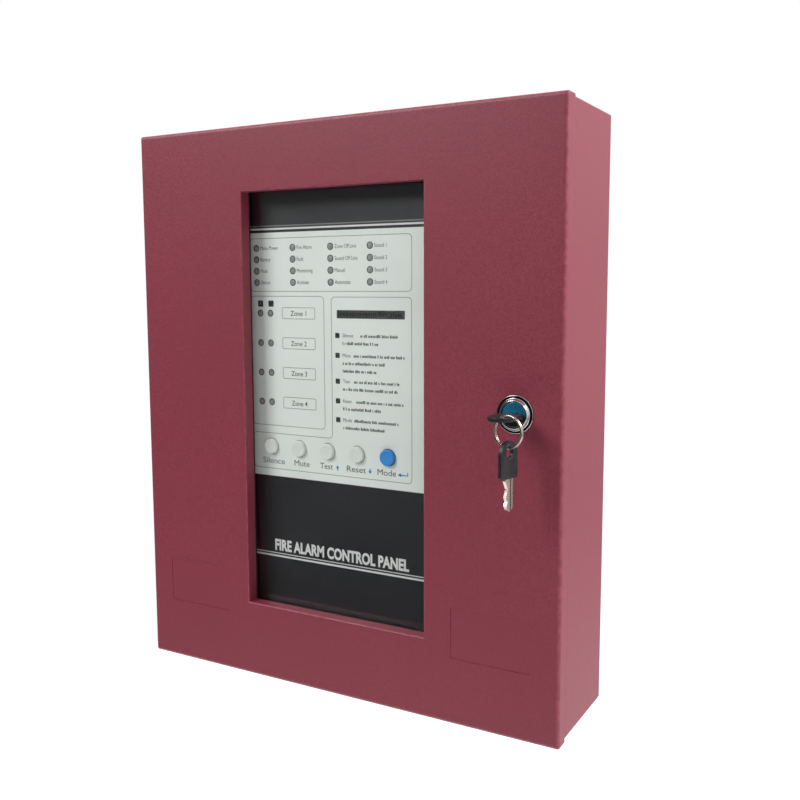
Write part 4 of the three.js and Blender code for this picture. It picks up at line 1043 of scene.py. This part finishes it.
def draw_print(thickness):
    """All the print on the front sheet, in mm of x and z."""
    sheet = Printing(thickness)
    draw = np.random.default_rng(17)
    sheet.patch("grey", -92, 72, 124.0, 124.8, 0.1)
    sheet.patch("white", -92, 72, 121.8, 123.0, 0.1)
    sheet.box("grey", -74.6, 53.5, 80.0, 116.3, 3, 0.35)
    for column, words in enumerate(STATUS_WORDS):
        for row, word in enumerate(words):
            x = -69 + 30.55 * column + 3.4
            sheet.write("dark", word, x, 109.6 - 7.8 * row - 1.2, 2.5, narrow=0.8)
    sheet.box("grey", -74.6, -13.4, -12.8, 77.0, 3, 0.35)
    for x, letter in ((-66.3, "A"), (-57.3, "F")):
        sheet.patch("dark", x - 2.2, x + 2.2, 69.6, 73.9, 0.5)
        sheet.write("white", letter, x - 1.2, 70.4, 2.8, right=x + 1.2)
    for row in range(4):
        top = 69.3 - 20.5 * row
        sheet.box("grey", -48.0, -20.7, top - 7.9, top, 1.0, 0.35)
        sheet.write("dark", f"Zone {row + 1}", -40.9, top - 5.7, 3.3, right=-27.9, weight=0.004)
    sheet.frame("grey", [
        (-74.6, -43.4), (53.4, -43.4), (53.4, 76.6), (-7.8, 76.6), (-7.8, -18.1), (-74.6, -18.1),
    ], 3, 0.35)
    sheet.patch("dark", -3.3, 48.3, 62.4, 67.9, 0.3)
    sheet.write("white", "Instructions for use", -1.4, 64.0, 3.2, right=46.6)
    for number, z in enumerate(STEP_HEIGHTS):
        sheet.patch("dark", -4.7, -1.3, z - 1.7, z + 1.7, 0.4)
        sheet.write("white", str(number + 1), -3.6, z - 1.1, 2.2, right=-2.4)
        word = STEP_WORDS[number]
        sheet.write("dark", word, 1.1, z - 1.0, 2.3, narrow=0.9)
        start = 1.1 + 1.75 * len(word) + 1.6
        lines = [greeked(draw, start, 48.3 - draw.uniform(0, 5), z - 1.0)]
        for line in range(1, STEP_LINES[number]):
            end = draw.uniform(26, 47)
            lines.append(greeked(draw, 1.1, end, z - 1.0 - 5.1 * line))
        sheet.strokes("dark", np.concatenate(lines))
    for word, left, right in BUTTON_WORDS:
        sheet.write("dark", word, left, -39.6, 3.9, right=right)
    sheet.shape("blue", -3.9, -38.0, np.array(ARROW) * [1.2, -1.1])
    sheet.shape("blue", 21.7, -38.0, np.array(ARROW) * [1.2, 1.1])
    turned_arrow = np.array(ARROW)[:, ::-1] * [1.3, 1.2]
    sheet.shape("blue", 44.8, -38.3, turned_arrow)
    sheet.patch("blue", 46.4, 50.4, -38.6, -38.0, 0.1)
    sheet.patch("blue", 49.8, 50.4, -38.6, -36.2, 0.1)
    sheet.write(
        "white", "FIRE ALARM CONTROL PANEL", -57.4, -101.5, 7.3, right=51.0, weight=0.04,
    )
    sheet.patch("white", -92, 72, -104.2, -103.6, 0.1)
    sheet.patch("white", -92, 72, -106.6, -105.3, 0.1)
    sheet.finish()


def draw_sheet():
    """The front sheet: a thin film with round corners and five button holes."""
    width = SHEET_HIGH.x - SHEET_LOW.x
    height = SHEET_HIGH.z - SHEET_LOW.z
    middle = [(SHEET_LOW.x + SHEET_HIGH.x) / 2, (SHEET_LOW.z + SHEET_HIGH.z) / 2]
    outline = rounded_outline(width, height, 2 * MM) + middle
    piece = prism("front_sheet", outline, SHEET_LOW.y, SHEET_HIGH.y)
    holes = []
    for name in BUTTONS:
        low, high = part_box(f"button_{name}")
        x, z = (low.x + high.x) / 2, (low.z + high.z) / 2
        hole = circle_outline(5.8 * MM, x, z, 64)
        holes.append(prism("hole", hole, SHEET_LOW.y - MM, SHEET_HIGH.y + MM))
    cut(piece, holes)
    return smooth(piece, 35, bevel=0.06 * MM)


def draw_lights(name, places):
    """Indicator windows: a printed ring and a low domed lens in each, as turned profiles."""
    ring = np.array([(1.75, 0), (2.4, 0), (2.4, -0.05), (2.3, -0.10), (1.85, -0.10), (1.75, -0.05),
                     (1.75, 0)]) * MM
    t = arc(0, 90, 5)
    dome = np.stack([1.72 * np.cos(t), -0.06 - 0.24 * np.sin(t)], axis=1) * MM
    dome = np.concatenate([[(0, 0)], [(1.72 * MM, 0)], dome])
    rings, lenses = [], []
    for x, z in places:
        middle = (x, SHEET_FACE, z)
        rings.append(turned("ring", ring, middle, "Y", 28))
        lenses.append(turned("lens", dome, middle, "Y", 28))
    frames = place(smooth(joined(f"{name}_rings", rings), 40), finish("dark_ink"),
                   "box", "printed_sheet")
    glass = place(smooth(joined(f"{name}_lenses", lenses), 50), finish("light_guide"),
                  "box", "light_guide")
    return frames, glass


def draw_button(name):
    """Round cap with a softly dished top, its skirt behind the plate, and its stem."""
    low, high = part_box(f"button_{name}")
    x, z = (low.x + high.x) / 2, (low.z + high.z) / 2
    tip = low.y
    skirt = tip + 4.4 * MM + (SHEET_HIGH.y - SHEET_LOW.y) + 0.3 * MM - 0.4 * MM
    skirt = min(skirt, high.y - 2 * MM)
    end = high.y
    profile = filleted(np.array([
        (0, tip + 0.28 * MM), (2.2 * MM, tip + 0.22 * MM), (4.3 * MM, tip), (5.0 * MM, tip),
        (5.4 * MM, tip + 0.6 * MM), (5.4 * MM, skirt), (6.8 * MM, skirt),
        (6.8 * MM, skirt + 1.2 * MM), (1.8 * MM, skirt + 1.2 * MM), (1.8 * MM, end), (0, end),
    ]), 0.5 * MM)
    piece = turned(f"push_cap_{name}", profile, (x, 0, z), "Y", 64)
    return smooth(piece, 40)


# ---------- lock and keys ----------

def draw_lock():
    """Lock barrel: rim, sloping flange and a threaded shank cut as fine ridges."""
    seat = FRONT - 0.3 * MM
    rim = LOCK_LOW.y
    back = LOCK_HIGH.y
    head = filleted(np.array([
        (6.3 * MM, rim + 1.4 * MM), (7.8 * MM, rim + 1.4 * MM), (7.8 * MM, rim + 0.4 * MM),
        (8.0 * MM, rim), (8.4 * MM, rim), (9.55 * MM, rim + 1.9 * MM),
        (11.1 * MM, seat - 0.6 * MM), (11.4 * MM, seat - 0.35 * MM), (11.4 * MM, seat),
        (8.0 * MM, seat),
    ]), 0.3 * MM)
    turns = 15
    y = np.linspace(seat + 1.5 * MM, back - 0.8 * MM, 2 * turns + 1)
    r = np.where(np.arange(2 * turns + 1) % 2, 7.55, 8.0) * MM
    thread = np.stack([r, y], axis=1)
    tail = np.array([(7.5 * MM, back), (6.3 * MM, back), (6.3 * MM, rim + 1.4 * MM)])
    piece = turned("lock_barrel", np.concatenate([head, thread, tail]), (LOCK_X, 0, LOCK_Z))
    return smooth(piece, 40)


def draw_plug():
    """Lock plug: a crowned face y = y0 - h (1 - (r / R)^2) with its keyway, and its body behind."""
    low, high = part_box("lock_plug")
    face = low.y
    r = np.linspace(0, 7.1, 9) * MM
    crown = face + 0.02 * MM + 0.3 * MM * (r / r[-1]) ** 2
    body_end = high.y - 2.2 * MM
    profile = np.concatenate([
        np.stack([r, crown], axis=1),
        np.array([
            (7.4 * MM, face + 0.55 * MM), (7.4 * MM, face + 0.75 * MM), (6 * MM, face + 0.8 * MM),
            (6 * MM, body_end), (0, body_end),
        ]),
    ])
    piece = turned("lock_face_plug", profile, (LOCK_X, 0, LOCK_Z), "Y", 96)
    square = 6.4 * MM
    tail = prism("tail", rounded_outline(square, square, 0.4 * MM, 3) + [LOCK_X, LOCK_Z],
                 body_end - 0.5 * MM, high.y)
    step = piece.modifiers.new("tail", "BOOLEAN")
    step.operation = "UNION"
    step.solver = "EXACT"
    step.object = tail
    settle(piece)
    bpy.data.objects.remove(tail)
    keyway = rounded_outline(8.1 * MM, 2.6 * MM, 0.5 * MM, 3) + [LOCK_X, LOCK_Z]
    screw = circle_outline(1.5 * MM, LOCK_X, LOCK_Z, 24)
    cut(piece, [
        prism("keyway", keyway, face - MM, face + 19 * MM),
        prism("screw", screw, high.y - 3 * MM, high.y + MM),
    ])
    return smooth(piece, 35, bevel=0.08 * MM)


KEY_W, KEY_L, KEY_T = 16 * MM, 21.6 * MM, 2.4 * MM
KEY_HOLE_R, KEY_HOLE_IN = 3.4 * MM, 6.55 * MM
BLADE_W, BLADE_T, BLADE_L = 7.5 * MM, 2.0 * MM, 19 * MM


def head_outline(neck, count):
    """Outline of a key head, tip at the origin: a half round, straight sides, clipped corners and
    the neck. It is sampled at `count` points evenly along its length."""
    w = KEY_W / 2
    t = arc(0, 180, 24)
    tip = np.stack([-w * np.cos(t[::-1]), w - w * np.sin(t[::-1])], axis=1)
    rest = [
        (-w, KEY_L - 1.5 * MM), (-w + 0.4 * MM, KEY_L - 0.5 * MM), (-w + 1.5 * MM, KEY_L),
        (-5.5 * MM, KEY_L), (-5.5 * MM, KEY_L + neck), (5.5 * MM, KEY_L + neck),
        (5.5 * MM, KEY_L), (w - 1.5 * MM, KEY_L), (w - 0.4 * MM, KEY_L - 0.5 * MM),
        (w, KEY_L - 1.5 * MM),
    ]
    if neck == 0:
        rest = [point for point in rest if abs(abs(point[0]) - 5.5 * MM) > 1e-9]
    points = np.concatenate([tip, np.array(rest)])
    loop = np.concatenate([points, points[:1]])
    run = np.concatenate([[0], np.cumsum(np.linalg.norm(np.diff(loop, axis=0), axis=1))])
    at = np.linspace(0, run[-1], count, endpoint=False)
    return np.stack([np.interp(at, run, loop[:, 0]), np.interp(at, run, loop[:, 1])], axis=1)


LEAST_FACING = 0.45


def inset(outline, distance, way):
    """An outline moved inwards by a distance, each point going back along its way out from the
    hole: outline - way distance / max(way . normal, LEAST_FACING). The normals come from each
    point's neighbours, and the floor keeps the step short where the outline turns sharply."""
    along = np.roll(outline, -1, axis=0) - np.roll(outline, 1, axis=0)
    along /= np.linalg.norm(along, axis=1, keepdims=True)
    normal = np.stack([-along[:, 1], along[:, 0]], axis=1)
    facing = np.abs(np.sum(way * normal, axis=1, keepdims=True))
    return outline - way * distance / np.maximum(facing, LEAST_FACING)


def key_head(name, neck, matrix):
    """Moulded key head: a flat plate with a raised rim, a sunk middle and a hole for the ring.
    Rows run from the outer edge over one face, through the hole, and back over the other."""
    count = 160
    outer = head_outline(neck, count)
    middle = np.array([0, KEY_HOLE_IN])
    reach = outer - middle
    way = reach / np.linalg.norm(reach, axis=1, keepdims=True)

    def hole(radius):
        return middle + radius * way

    half = KEY_T / 2
    face = [
        (outer, 0.72), (inset(outer, 0.10 * MM, way), 0.92), (inset(outer, 0.35 * MM, way), 1.0),
        (inset(outer, 1.15 * MM, way), 1.0), (inset(outer, 1.4 * MM, way), 0.86),
        (0.55 * inset(outer, 1.4 * MM, way) + 0.45 * hole(KEY_HOLE_R + 1.5 * MM), 0.80),
        (hole(KEY_HOLE_R + 1.5 * MM), 0.84), (hole(KEY_HOLE_R + 1.25 * MM), 1.0),
        (hole(KEY_HOLE_R + 0.3 * MM), 1.0), (hole(KEY_HOLE_R + 0.06 * MM), 0.90),
        (hole(KEY_HOLE_R), 0.72),
    ]
    front = [np.insert(points, 2, half * share, axis=1) for points, share in face]
    back = [points * [1, 1, -1] for points in front[::-1]]
    piece = surface(name, np.array(front + back), close_rows=True)
    slot = [
        (sign * (BLADE_W / 2 + 0.3 * MM), KEY_L + neck + dy)
        for sign, dy in ((-1, MM), (-1, -3.3 * MM), (1, -3.3 * MM), (1, MM))
    ]
    slot_rows = [np.insert(np.array(slot), 2, z, axis=1) for z in (-1.0 * MM, 1.0 * MM)]
    cut(piece, [surface("slot", np.array(slot_rows), caps=True)])
    smooth(piece, 35)
    piece.data.transform(matrix)
    return piece


def key_blade(name, matrix):
    """Cut key blade along its length: a toothed edge, a milled groove on each face, and a thin
    root that is held in the head."""
    w = BLADE_W / 2
    root = 3 * MM
    tooth = BLADE_L / 8
    cuts = np.array([0.9, 2.1, 0.7, 1.6, 2.4, 1.2]) * MM
    heights = BLADE_L - (np.arange(6) + 1.6) * tooth
    teeth = np.stack([-w + cuts, heights], axis=1)
    outline = np.concatenate([
        [
            (w, -root), (w, BLADE_L - 2 * MM), (0.4 * MM, BLADE_L),
            (-w + 2.2 * MM, BLADE_L - 1.4 * MM),
        ],
        teeth, [(-w, MM), (-w, -root)],
    ])
    rows = [np.insert(outline, 2, z, axis=1) for z in (-BLADE_T / 2, BLADE_T / 2)]
    piece = surface(name, np.array(rows), caps=True)
    cutters = []
    for side in (-1, 1):
        near, far = side * (BLADE_T / 2 - 0.45 * MM), side * 2 * BLADE_T
        groove = np.array([
            (0.5 * MM, -root - MM), (1.9 * MM, -root - MM), (1.9 * MM, BLADE_L + MM),
            (0.5 * MM, BLADE_L + MM),
        ])
        root_cut = np.array([
            (-2 * w, -root - 2 * MM), (2 * w, -root - 2 * MM), (2 * w, -0.3 * MM),
            (-2 * w, -0.3 * MM),
        ])
        cutters.append(surface("groove", np.array([
            np.insert(groove, 2, near, axis=1), np.insert(groove, 2, far, axis=1),
        ]), caps=True))
        cutters.append(surface("root", np.array([
            np.insert(root_cut, 2, side * 0.7 * MM, axis=1), np.insert(root_cut, 2, far, axis=1),
        ]), caps=True))
    cut(piece, cutters)
    smooth(piece, 30, bevel=0.10 * MM)
    piece.data.transform(matrix)
    return piece


def key_matrix(origin, width_axis, length_axis):
    """Places a key drawn with its width on X, its length on Y and its thickness on Z."""
    across, along = Vector(width_axis).normalized(), Vector(length_axis).normalized()
    through = across.cross(along)
    turn = Matrix((across, along, through)).transposed().to_4x4()
    return Matrix.Translation(Vector(origin)) @ turn


def draw_ring(wire):
    """Split ring: a rounded flat wire carried two turns round. A point of its line is
    centre + R cos(a) across + R sin(a) up + s(a) along the axis, where s steps from one coil to
    the next over a short part of the turn."""
    across = np.array([math.cos(RING_TWIST), math.sin(RING_TWIST), 0])
    axis = np.array([-math.sin(RING_TWIST), math.cos(RING_TWIST), 0])
    up = np.array([0, 0, 1.0])
    radius = (RING_HIGH.z - RING_LOW.z) / 2 - wire / 2
    coil = 1.06 * MM
    angle = np.linspace(0, 4 * math.pi, 241)
    t = np.clip((angle - 1.86 * math.pi) / (0.28 * math.pi), 0, 1)
    shift = (t * t * (3 - 2 * t) - 0.5) * 1.12 * MM
    outward_way = np.cos(angle)[:, None] * across + np.sin(angle)[:, None] * up
    line = np.array(RING_CENTRE) + radius * outward_way + shift[:, None] * axis
    section = rounded_outline(wire, coil, 0.3 * MM, 3)
    across = section[None, :, :1] * outward_way[:, None]
    points = line[:, None] + across + section[None, :, 1:] * axis
    return smooth(surface("split_ring", points, caps=True), 50)


# ---------- operators ----------

class ALARM_OT_case(bpy.types.Operator):
    """Draw the folded steel case and the grommets in its top"""
    bl_idname = "alarm.case"
    bl_label = "Case"

    def execute(self, context):
        case = draw_case(context.scene.alarm_paint.case_bend)
        place(case, finish("red_paint"), "box", "red_paint", "back_box")
        for number, node in enumerate(("cable_grommet_1", "cable_grommet_2"), 1):
            place(draw_grommet(node, number), finish("rubber"), "box", "rubber", node)
        copy_nodes(["earth_stud"])
        return {"FINISHED"}


class ALARM_OT_door(bpy.types.Operator):
    """Draw the folded steel door with its window edge and label recesses"""
    bl_idname = "alarm.door"
    bl_label = "Door"

    def execute(self, context):
        door = draw_door(context.scene.alarm_paint.bend)
        place(door, finish("red_paint"), "door", "red_paint", "door_shell")
        return {"FINISHED"}


class ALARM_OT_window(bpy.types.Operator):
    """Glaze the window: clear pane, rubber seal and the clips that hold them"""
    bl_idname = "alarm.window"
    bl_label = "Window"

    def execute(self, context):
        refinish("window_pane")
        copy_nodes(["pane_seal"], bevel=0.2 * MM)
        copy_nodes([f"pane_clip_{number}" for number in range(1, 5)], bevel=0.2 * MM)
        return {"FINISHED"}


class ALARM_OT_hinges(bpy.types.Operator):
    """Finish the two hinges"""
    bl_idname = "alarm.hinges"
    bl_label = "Hinges"

    def execute(self, context):
        for word in ("upper", "lower"):
            copy_nodes([f"{word}_hinge_box_leaf", f"{word}_hinge_door_leaf"], bevel=0.18 * MM)
            copy_nodes([f"{word}_hinge_pin"], bevel=0.25 * MM)
        return {"FINISHED"}


class ALARM_OT_front_sheet(bpy.types.Operator):
    """Draw the operator panel, its printed front sheet and all the print"""
    bl_idname = "alarm.front_sheet"
    bl_label = "Front sheet"

    def execute(self, context):
        copy_nodes(["operator_panel"], bevel=0.25 * MM)
        place(draw_sheet(), finish("printed_sheet"), "box", "printed_sheet", "panel_overlay")
        draw_print(context.scene.alarm_print.ink)
        return {"FINISHED"}


class ALARM_OT_lights(bpy.types.Operator):
    """Draw the indicator windows over their light guides"""
    bl_idname = "alarm.lights"
    bl_label = "Lights"

    def execute(self, context):
        draw_lights("status_light", light_places("status_light_guide", 4, 4))
        draw_lights("zone_light", light_places("zone_light_guide", 2, 4))
        copy_nodes(["status_light_guide", "zone_light_guide"], bevel=0.1 * MM)
        return {"FINISHED"}


class ALARM_OT_buttons(bpy.types.Operator):
    """Draw the five push buttons and the switches behind them"""
    bl_idname = "alarm.buttons"
    bl_label = "Buttons"

    def execute(self, context):
        for name in BUTTONS:
            node = f"button_{name}"
            slot = SLOT_OF[node]
            place(draw_button(name), finish(slot), f"push_{name}", slot, node)
        copy_nodes([f"switch_{name}" for name in BUTTONS])
        return {"FINISHED"}


class ALARM_OT_lock(bpy.types.Operator):
    """Draw the cam lock: barrel, plug face, nut, cam and screw"""
    bl_idname = "alarm.lock"
    bl_label = "Lock"

    def execute(self, context):
        place(draw_lock(), finish("chrome"), "door", "chrome", "lock_housing")
        place(draw_plug(), finish("blue_lock_face"), "lock_rotor", "blue_lock_face", "lock_plug")
        copy_nodes(["lock_nut", "lock_cam", "cam_screw"], bevel=0.2 * MM)
        return {"FINISHED"}


class ALARM_OT_keys(bpy.types.Operator):
    """Draw the key in the lock, the split ring and the spare key hanging from it"""
    bl_idname = "alarm.keys"
    bl_label = "Keys"

    def execute(self, context):
        low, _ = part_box("key_head")
        neck = 3.5 * MM
        inserted = key_matrix((LOCK_X, low.y, LOCK_Z), (1, 0, 0), (0, 1, 0))
        blade = inserted @ Matrix.Translation((0, KEY_L + neck, 0))
        place(key_head("key_grip", neck, inserted), finish("black_plastic"),
              "inserted_key", "black_plastic", "key_head")
        place(key_blade("key_cut_blade", blade), finish("nickel"),
              "inserted_key", "nickel", "key_blade")
        _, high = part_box("spare_key_head")
        width_way = (-math.sin(RING_TWIST), math.cos(RING_TWIST), 0)
        top = (RING_CENTRE.x, RING_CENTRE.y, high.z)
        hanging = key_matrix(top, width_way, (0, 0, -1))
        blade = hanging @ Matrix.Translation((0, KEY_L, 0))
        place(key_head("spare_grip", 0.0, hanging), finish("black_plastic"),
              "spare_key", "black_plastic", "spare_key_head")
        place(key_blade("spare_cut_blade", blade), finish("nickel"),
              "spare_key", "nickel", "spare_key_blade")
        ring = draw_ring(context.scene.alarm_lock.wire)
        place(ring, finish("nickel"), "ring", "nickel", "key_ring")
        return {"FINISHED"}


class ALARM_OT_electronics(bpy.types.Operator):
    """Finish the two boards and what is soldered to them"""
    bl_idname = "alarm.electronics"
    bl_label = "Electronics"

    def execute(self, context):
        copy_nodes([
            "display_board", "main_board", "board_rail_left", "board_rail_right",
            "display_spacer_left", "display_spacer_right", "field_terminals", "alarm_relay",
            "battery_fuse", "internal_sounder",
        ])
        copy_nodes(["ribbon_cable"], bevel=0.1 * MM)
        return {"FINISHED"}


class ALARM_OT_power(bpy.types.Operator):
    """Finish the transformer, the two batteries, their strap and their leads"""
    bl_idname = "alarm.power"
    bl_label = "Power supply"

    def execute(self, context):
        copy_nodes(["transformer_core", "transformer_coil"], bevel=0.4 * MM)
        copy_nodes(["battery_1", "battery_2"], bevel=0.8 * MM)
        copy_nodes(["battery_strap"], bevel=0.3 * MM)
        copy_nodes(["battery_link", "battery_lead_black", "battery_lead_red"], bevel=0.0, angle=60)
        return {"FINISHED"}


CAMERA_AT = (0.33698, -0.58168, 0.08307)
CAMERA_AIM = (0.0546, -0.083, 0.0193)
CAMERA_ROLL = -0.003
CAMERA_LENS = 41.77
CAMERA_SHIFT = (-0.0023, -0.0125)
FLOOR_AT = (0.3, 0.6, -1.1)


def floor_finish():
    """Plain pale floor with hardly any texture."""
    return plain(
        "pale_floor", (0.92, 0.92, 0.92), 0.7, 0.0, 0.01, 3, 200, 0.05,
        Emission_Color=(1, 1, 1, 1), Emission_Strength=0.35,
    )


def sky(strength):
    """White surroundings, darker towards the left front, where the room is. What the camera sees
    past the object is plain white."""
    world = bpy.data.worlds.new("studio")
    world.use_nodes = True
    tree = world.node_tree
    tree.nodes.clear()
    out = tree.nodes.new("ShaderNodeOutputWorld")
    seen = tree.nodes.new("ShaderNodeBackground")
    light = tree.nodes.new("ShaderNodeBackground")
    place_in_sky = tree.nodes.new("ShaderNodeTexCoord")
    along = tree.nodes.new("ShaderNodeVectorMath")
    along.operation = "DOT_PRODUCT"
    along.inputs[1].default_value = Vector((-0.5, -0.85, -0.15)).normalized()
    dark = tree.nodes.new("ShaderNodeMapRange")
    dark.interpolation_type = "SMOOTHSTEP"
    for socket, number in zip(dark.inputs[1:5], (-0.4, 0.75, 1.3, 0.2)):
        socket.default_value = number
    height = tree.nodes.new("ShaderNodeSeparateXYZ")
    low = tree.nodes.new("ShaderNodeMapRange")
    for socket, number in zip(low.inputs[1:5], (-0.5, 0.5, 0.4 * strength, 1.15 * strength)):
        socket.default_value = number
    level = tree.nodes.new("ShaderNodeMath")
    level.operation = "MULTIPLY"
    path = tree.nodes.new("ShaderNodeLightPath")
    mix = tree.nodes.new("ShaderNodeMixShader")
    link = tree.links.new
    link(place_in_sky.outputs["Generated"], along.inputs[0])
    link(along.outputs["Value"], dark.inputs["Value"])
    link(place_in_sky.outputs["Generated"], height.inputs["Vector"])
    link(height.outputs["Z"], low.inputs["Value"])
    link(dark.outputs["Result"], level.inputs[0])
    link(low.outputs["Result"], level.inputs[1])
    link(level.outputs["Value"], light.inputs["Strength"])
    link(path.outputs["Is Camera Ray"], mix.inputs[0])
    link(light.outputs["Background"], mix.inputs[1])
    link(seen.outputs["Background"], mix.inputs[2])
    link(mix.outputs["Shader"], out.inputs["Surface"])
    light.inputs["Color"].default_value = (1, 1, 1, 1)
    seen.inputs["Color"].default_value = (1, 1, 1, 1)
    bpy.context.scene.world = world


def soft_light(name, at, aim, size, power):
    """A square soft light at a place, facing another."""
    lamp = bpy.data.lights.new(name, "AREA")
    lamp.size = size
    lamp.energy = power
    thing = bpy.data.objects.new(name, lamp)
    thing.location = at
    thing.rotation_mode = "QUATERNION"
    thing.rotation_quaternion = (Vector(aim) - Vector(at)).to_track_quat("-Z", "Y")
    bpy.context.scene.collection.objects.link(thing)


class ALARM_OT_stage(bpy.types.Operator):
    """Set the pale floor, the soft light and the camera"""
    bl_idname = "alarm.stage"
    bl_label = "Studio"

    def execute(self, context):
        settings = context.scene.alarm_studio
        scene = context.scene
        scene.view_settings.view_transform = "Standard"
        floor = turned("floor", [(0, -0.01), (2.4, -0.01), (2.4, 0), (0, 0)], FLOOR_AT, "Z", 64)
        floor.data.materials.append(floor_finish().material)
        sky(settings.sky)
        soft_light("side_light", (1.0, 0.3, 0.85), (0.16, -0.04, 0.1), 0.7, settings.side_light)
        soft_light("front_light", (-0.9, -1.25, 1.15), (0, -0.06, 0), 0.8, settings.front_light)
        lens = bpy.data.cameras.new("camera")
        lens.lens = CAMERA_LENS
        lens.sensor_width = 36
        lens.shift_x, lens.shift_y = CAMERA_SHIFT
        camera = bpy.data.objects.new("camera", lens)
        aim = (Vector(CAMERA_AIM) - Vector(CAMERA_AT)).to_track_quat("-Z", "Y")
        camera.location = CAMERA_AT
        camera.rotation_mode = "QUATERNION"
        camera.rotation_quaternion = aim @ Matrix.Rotation(CAMERA_ROLL, 3, "Z").to_quaternion()
        scene.collection.objects.link(camera)
        scene.camera = camera
        return {"FINISHED"}


OPERATORS = (
    ALARM_OT_case, ALARM_OT_door, ALARM_OT_window, ALARM_OT_hinges, ALARM_OT_front_sheet,
    ALARM_OT_lights, ALARM_OT_buttons, ALARM_OT_lock, ALARM_OT_keys, ALARM_OT_electronics,
    ALARM_OT_power, ALARM_OT_stage,
)


class ALARM_PT_panel(bpy.types.Panel):
    """Sizes, colours and steps of the alarm panel"""
    bl_idname = "ALARM_PT_panel"
    bl_label = "Alarm Panel"
    bl_space_type = "VIEW_3D"
    bl_region_type = "UI"
    bl_category = "Alarm Panel"

    def draw(self, context):
        layout = self.layout
        for key in SETTINGS:
            settings = getattr(context.scene, key)
            for name in settings.bl_rna.properties.keys():
                if name not in {"rna_type", "name"}:
                    layout.prop(settings, name)
        for operator in OPERATORS:
            layout.operator(operator.bl_idname)


SETTINGS = {
    "alarm_paint": PaintSettings,
    "alarm_print": PrintSettings,
    "alarm_lock": LockSettings,
    "alarm_studio": StudioSettings,
}


def register():
    for item in (*SETTINGS.values(), *OPERATORS, ALARM_PT_panel):
        bpy.utils.register_class(item)
    for key, settings in SETTINGS.items():
        setattr(bpy.types.Scene, key, bpy.props.PointerProperty(type=settings))


def unregister():
    for key in SETTINGS:
        delattr(bpy.types.Scene, key)
    for item in (ALARM_PT_panel, *reversed(OPERATORS), *SETTINGS.values()):
        bpy.utils.unregister_class(item)


def main():
    """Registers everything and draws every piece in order."""
    register()
    for operator in OPERATORS:
        group, step = operator.bl_idname.split(".")
        getattr(getattr(bpy.ops, group), step)()


if __name__ == "__main__":
    main()
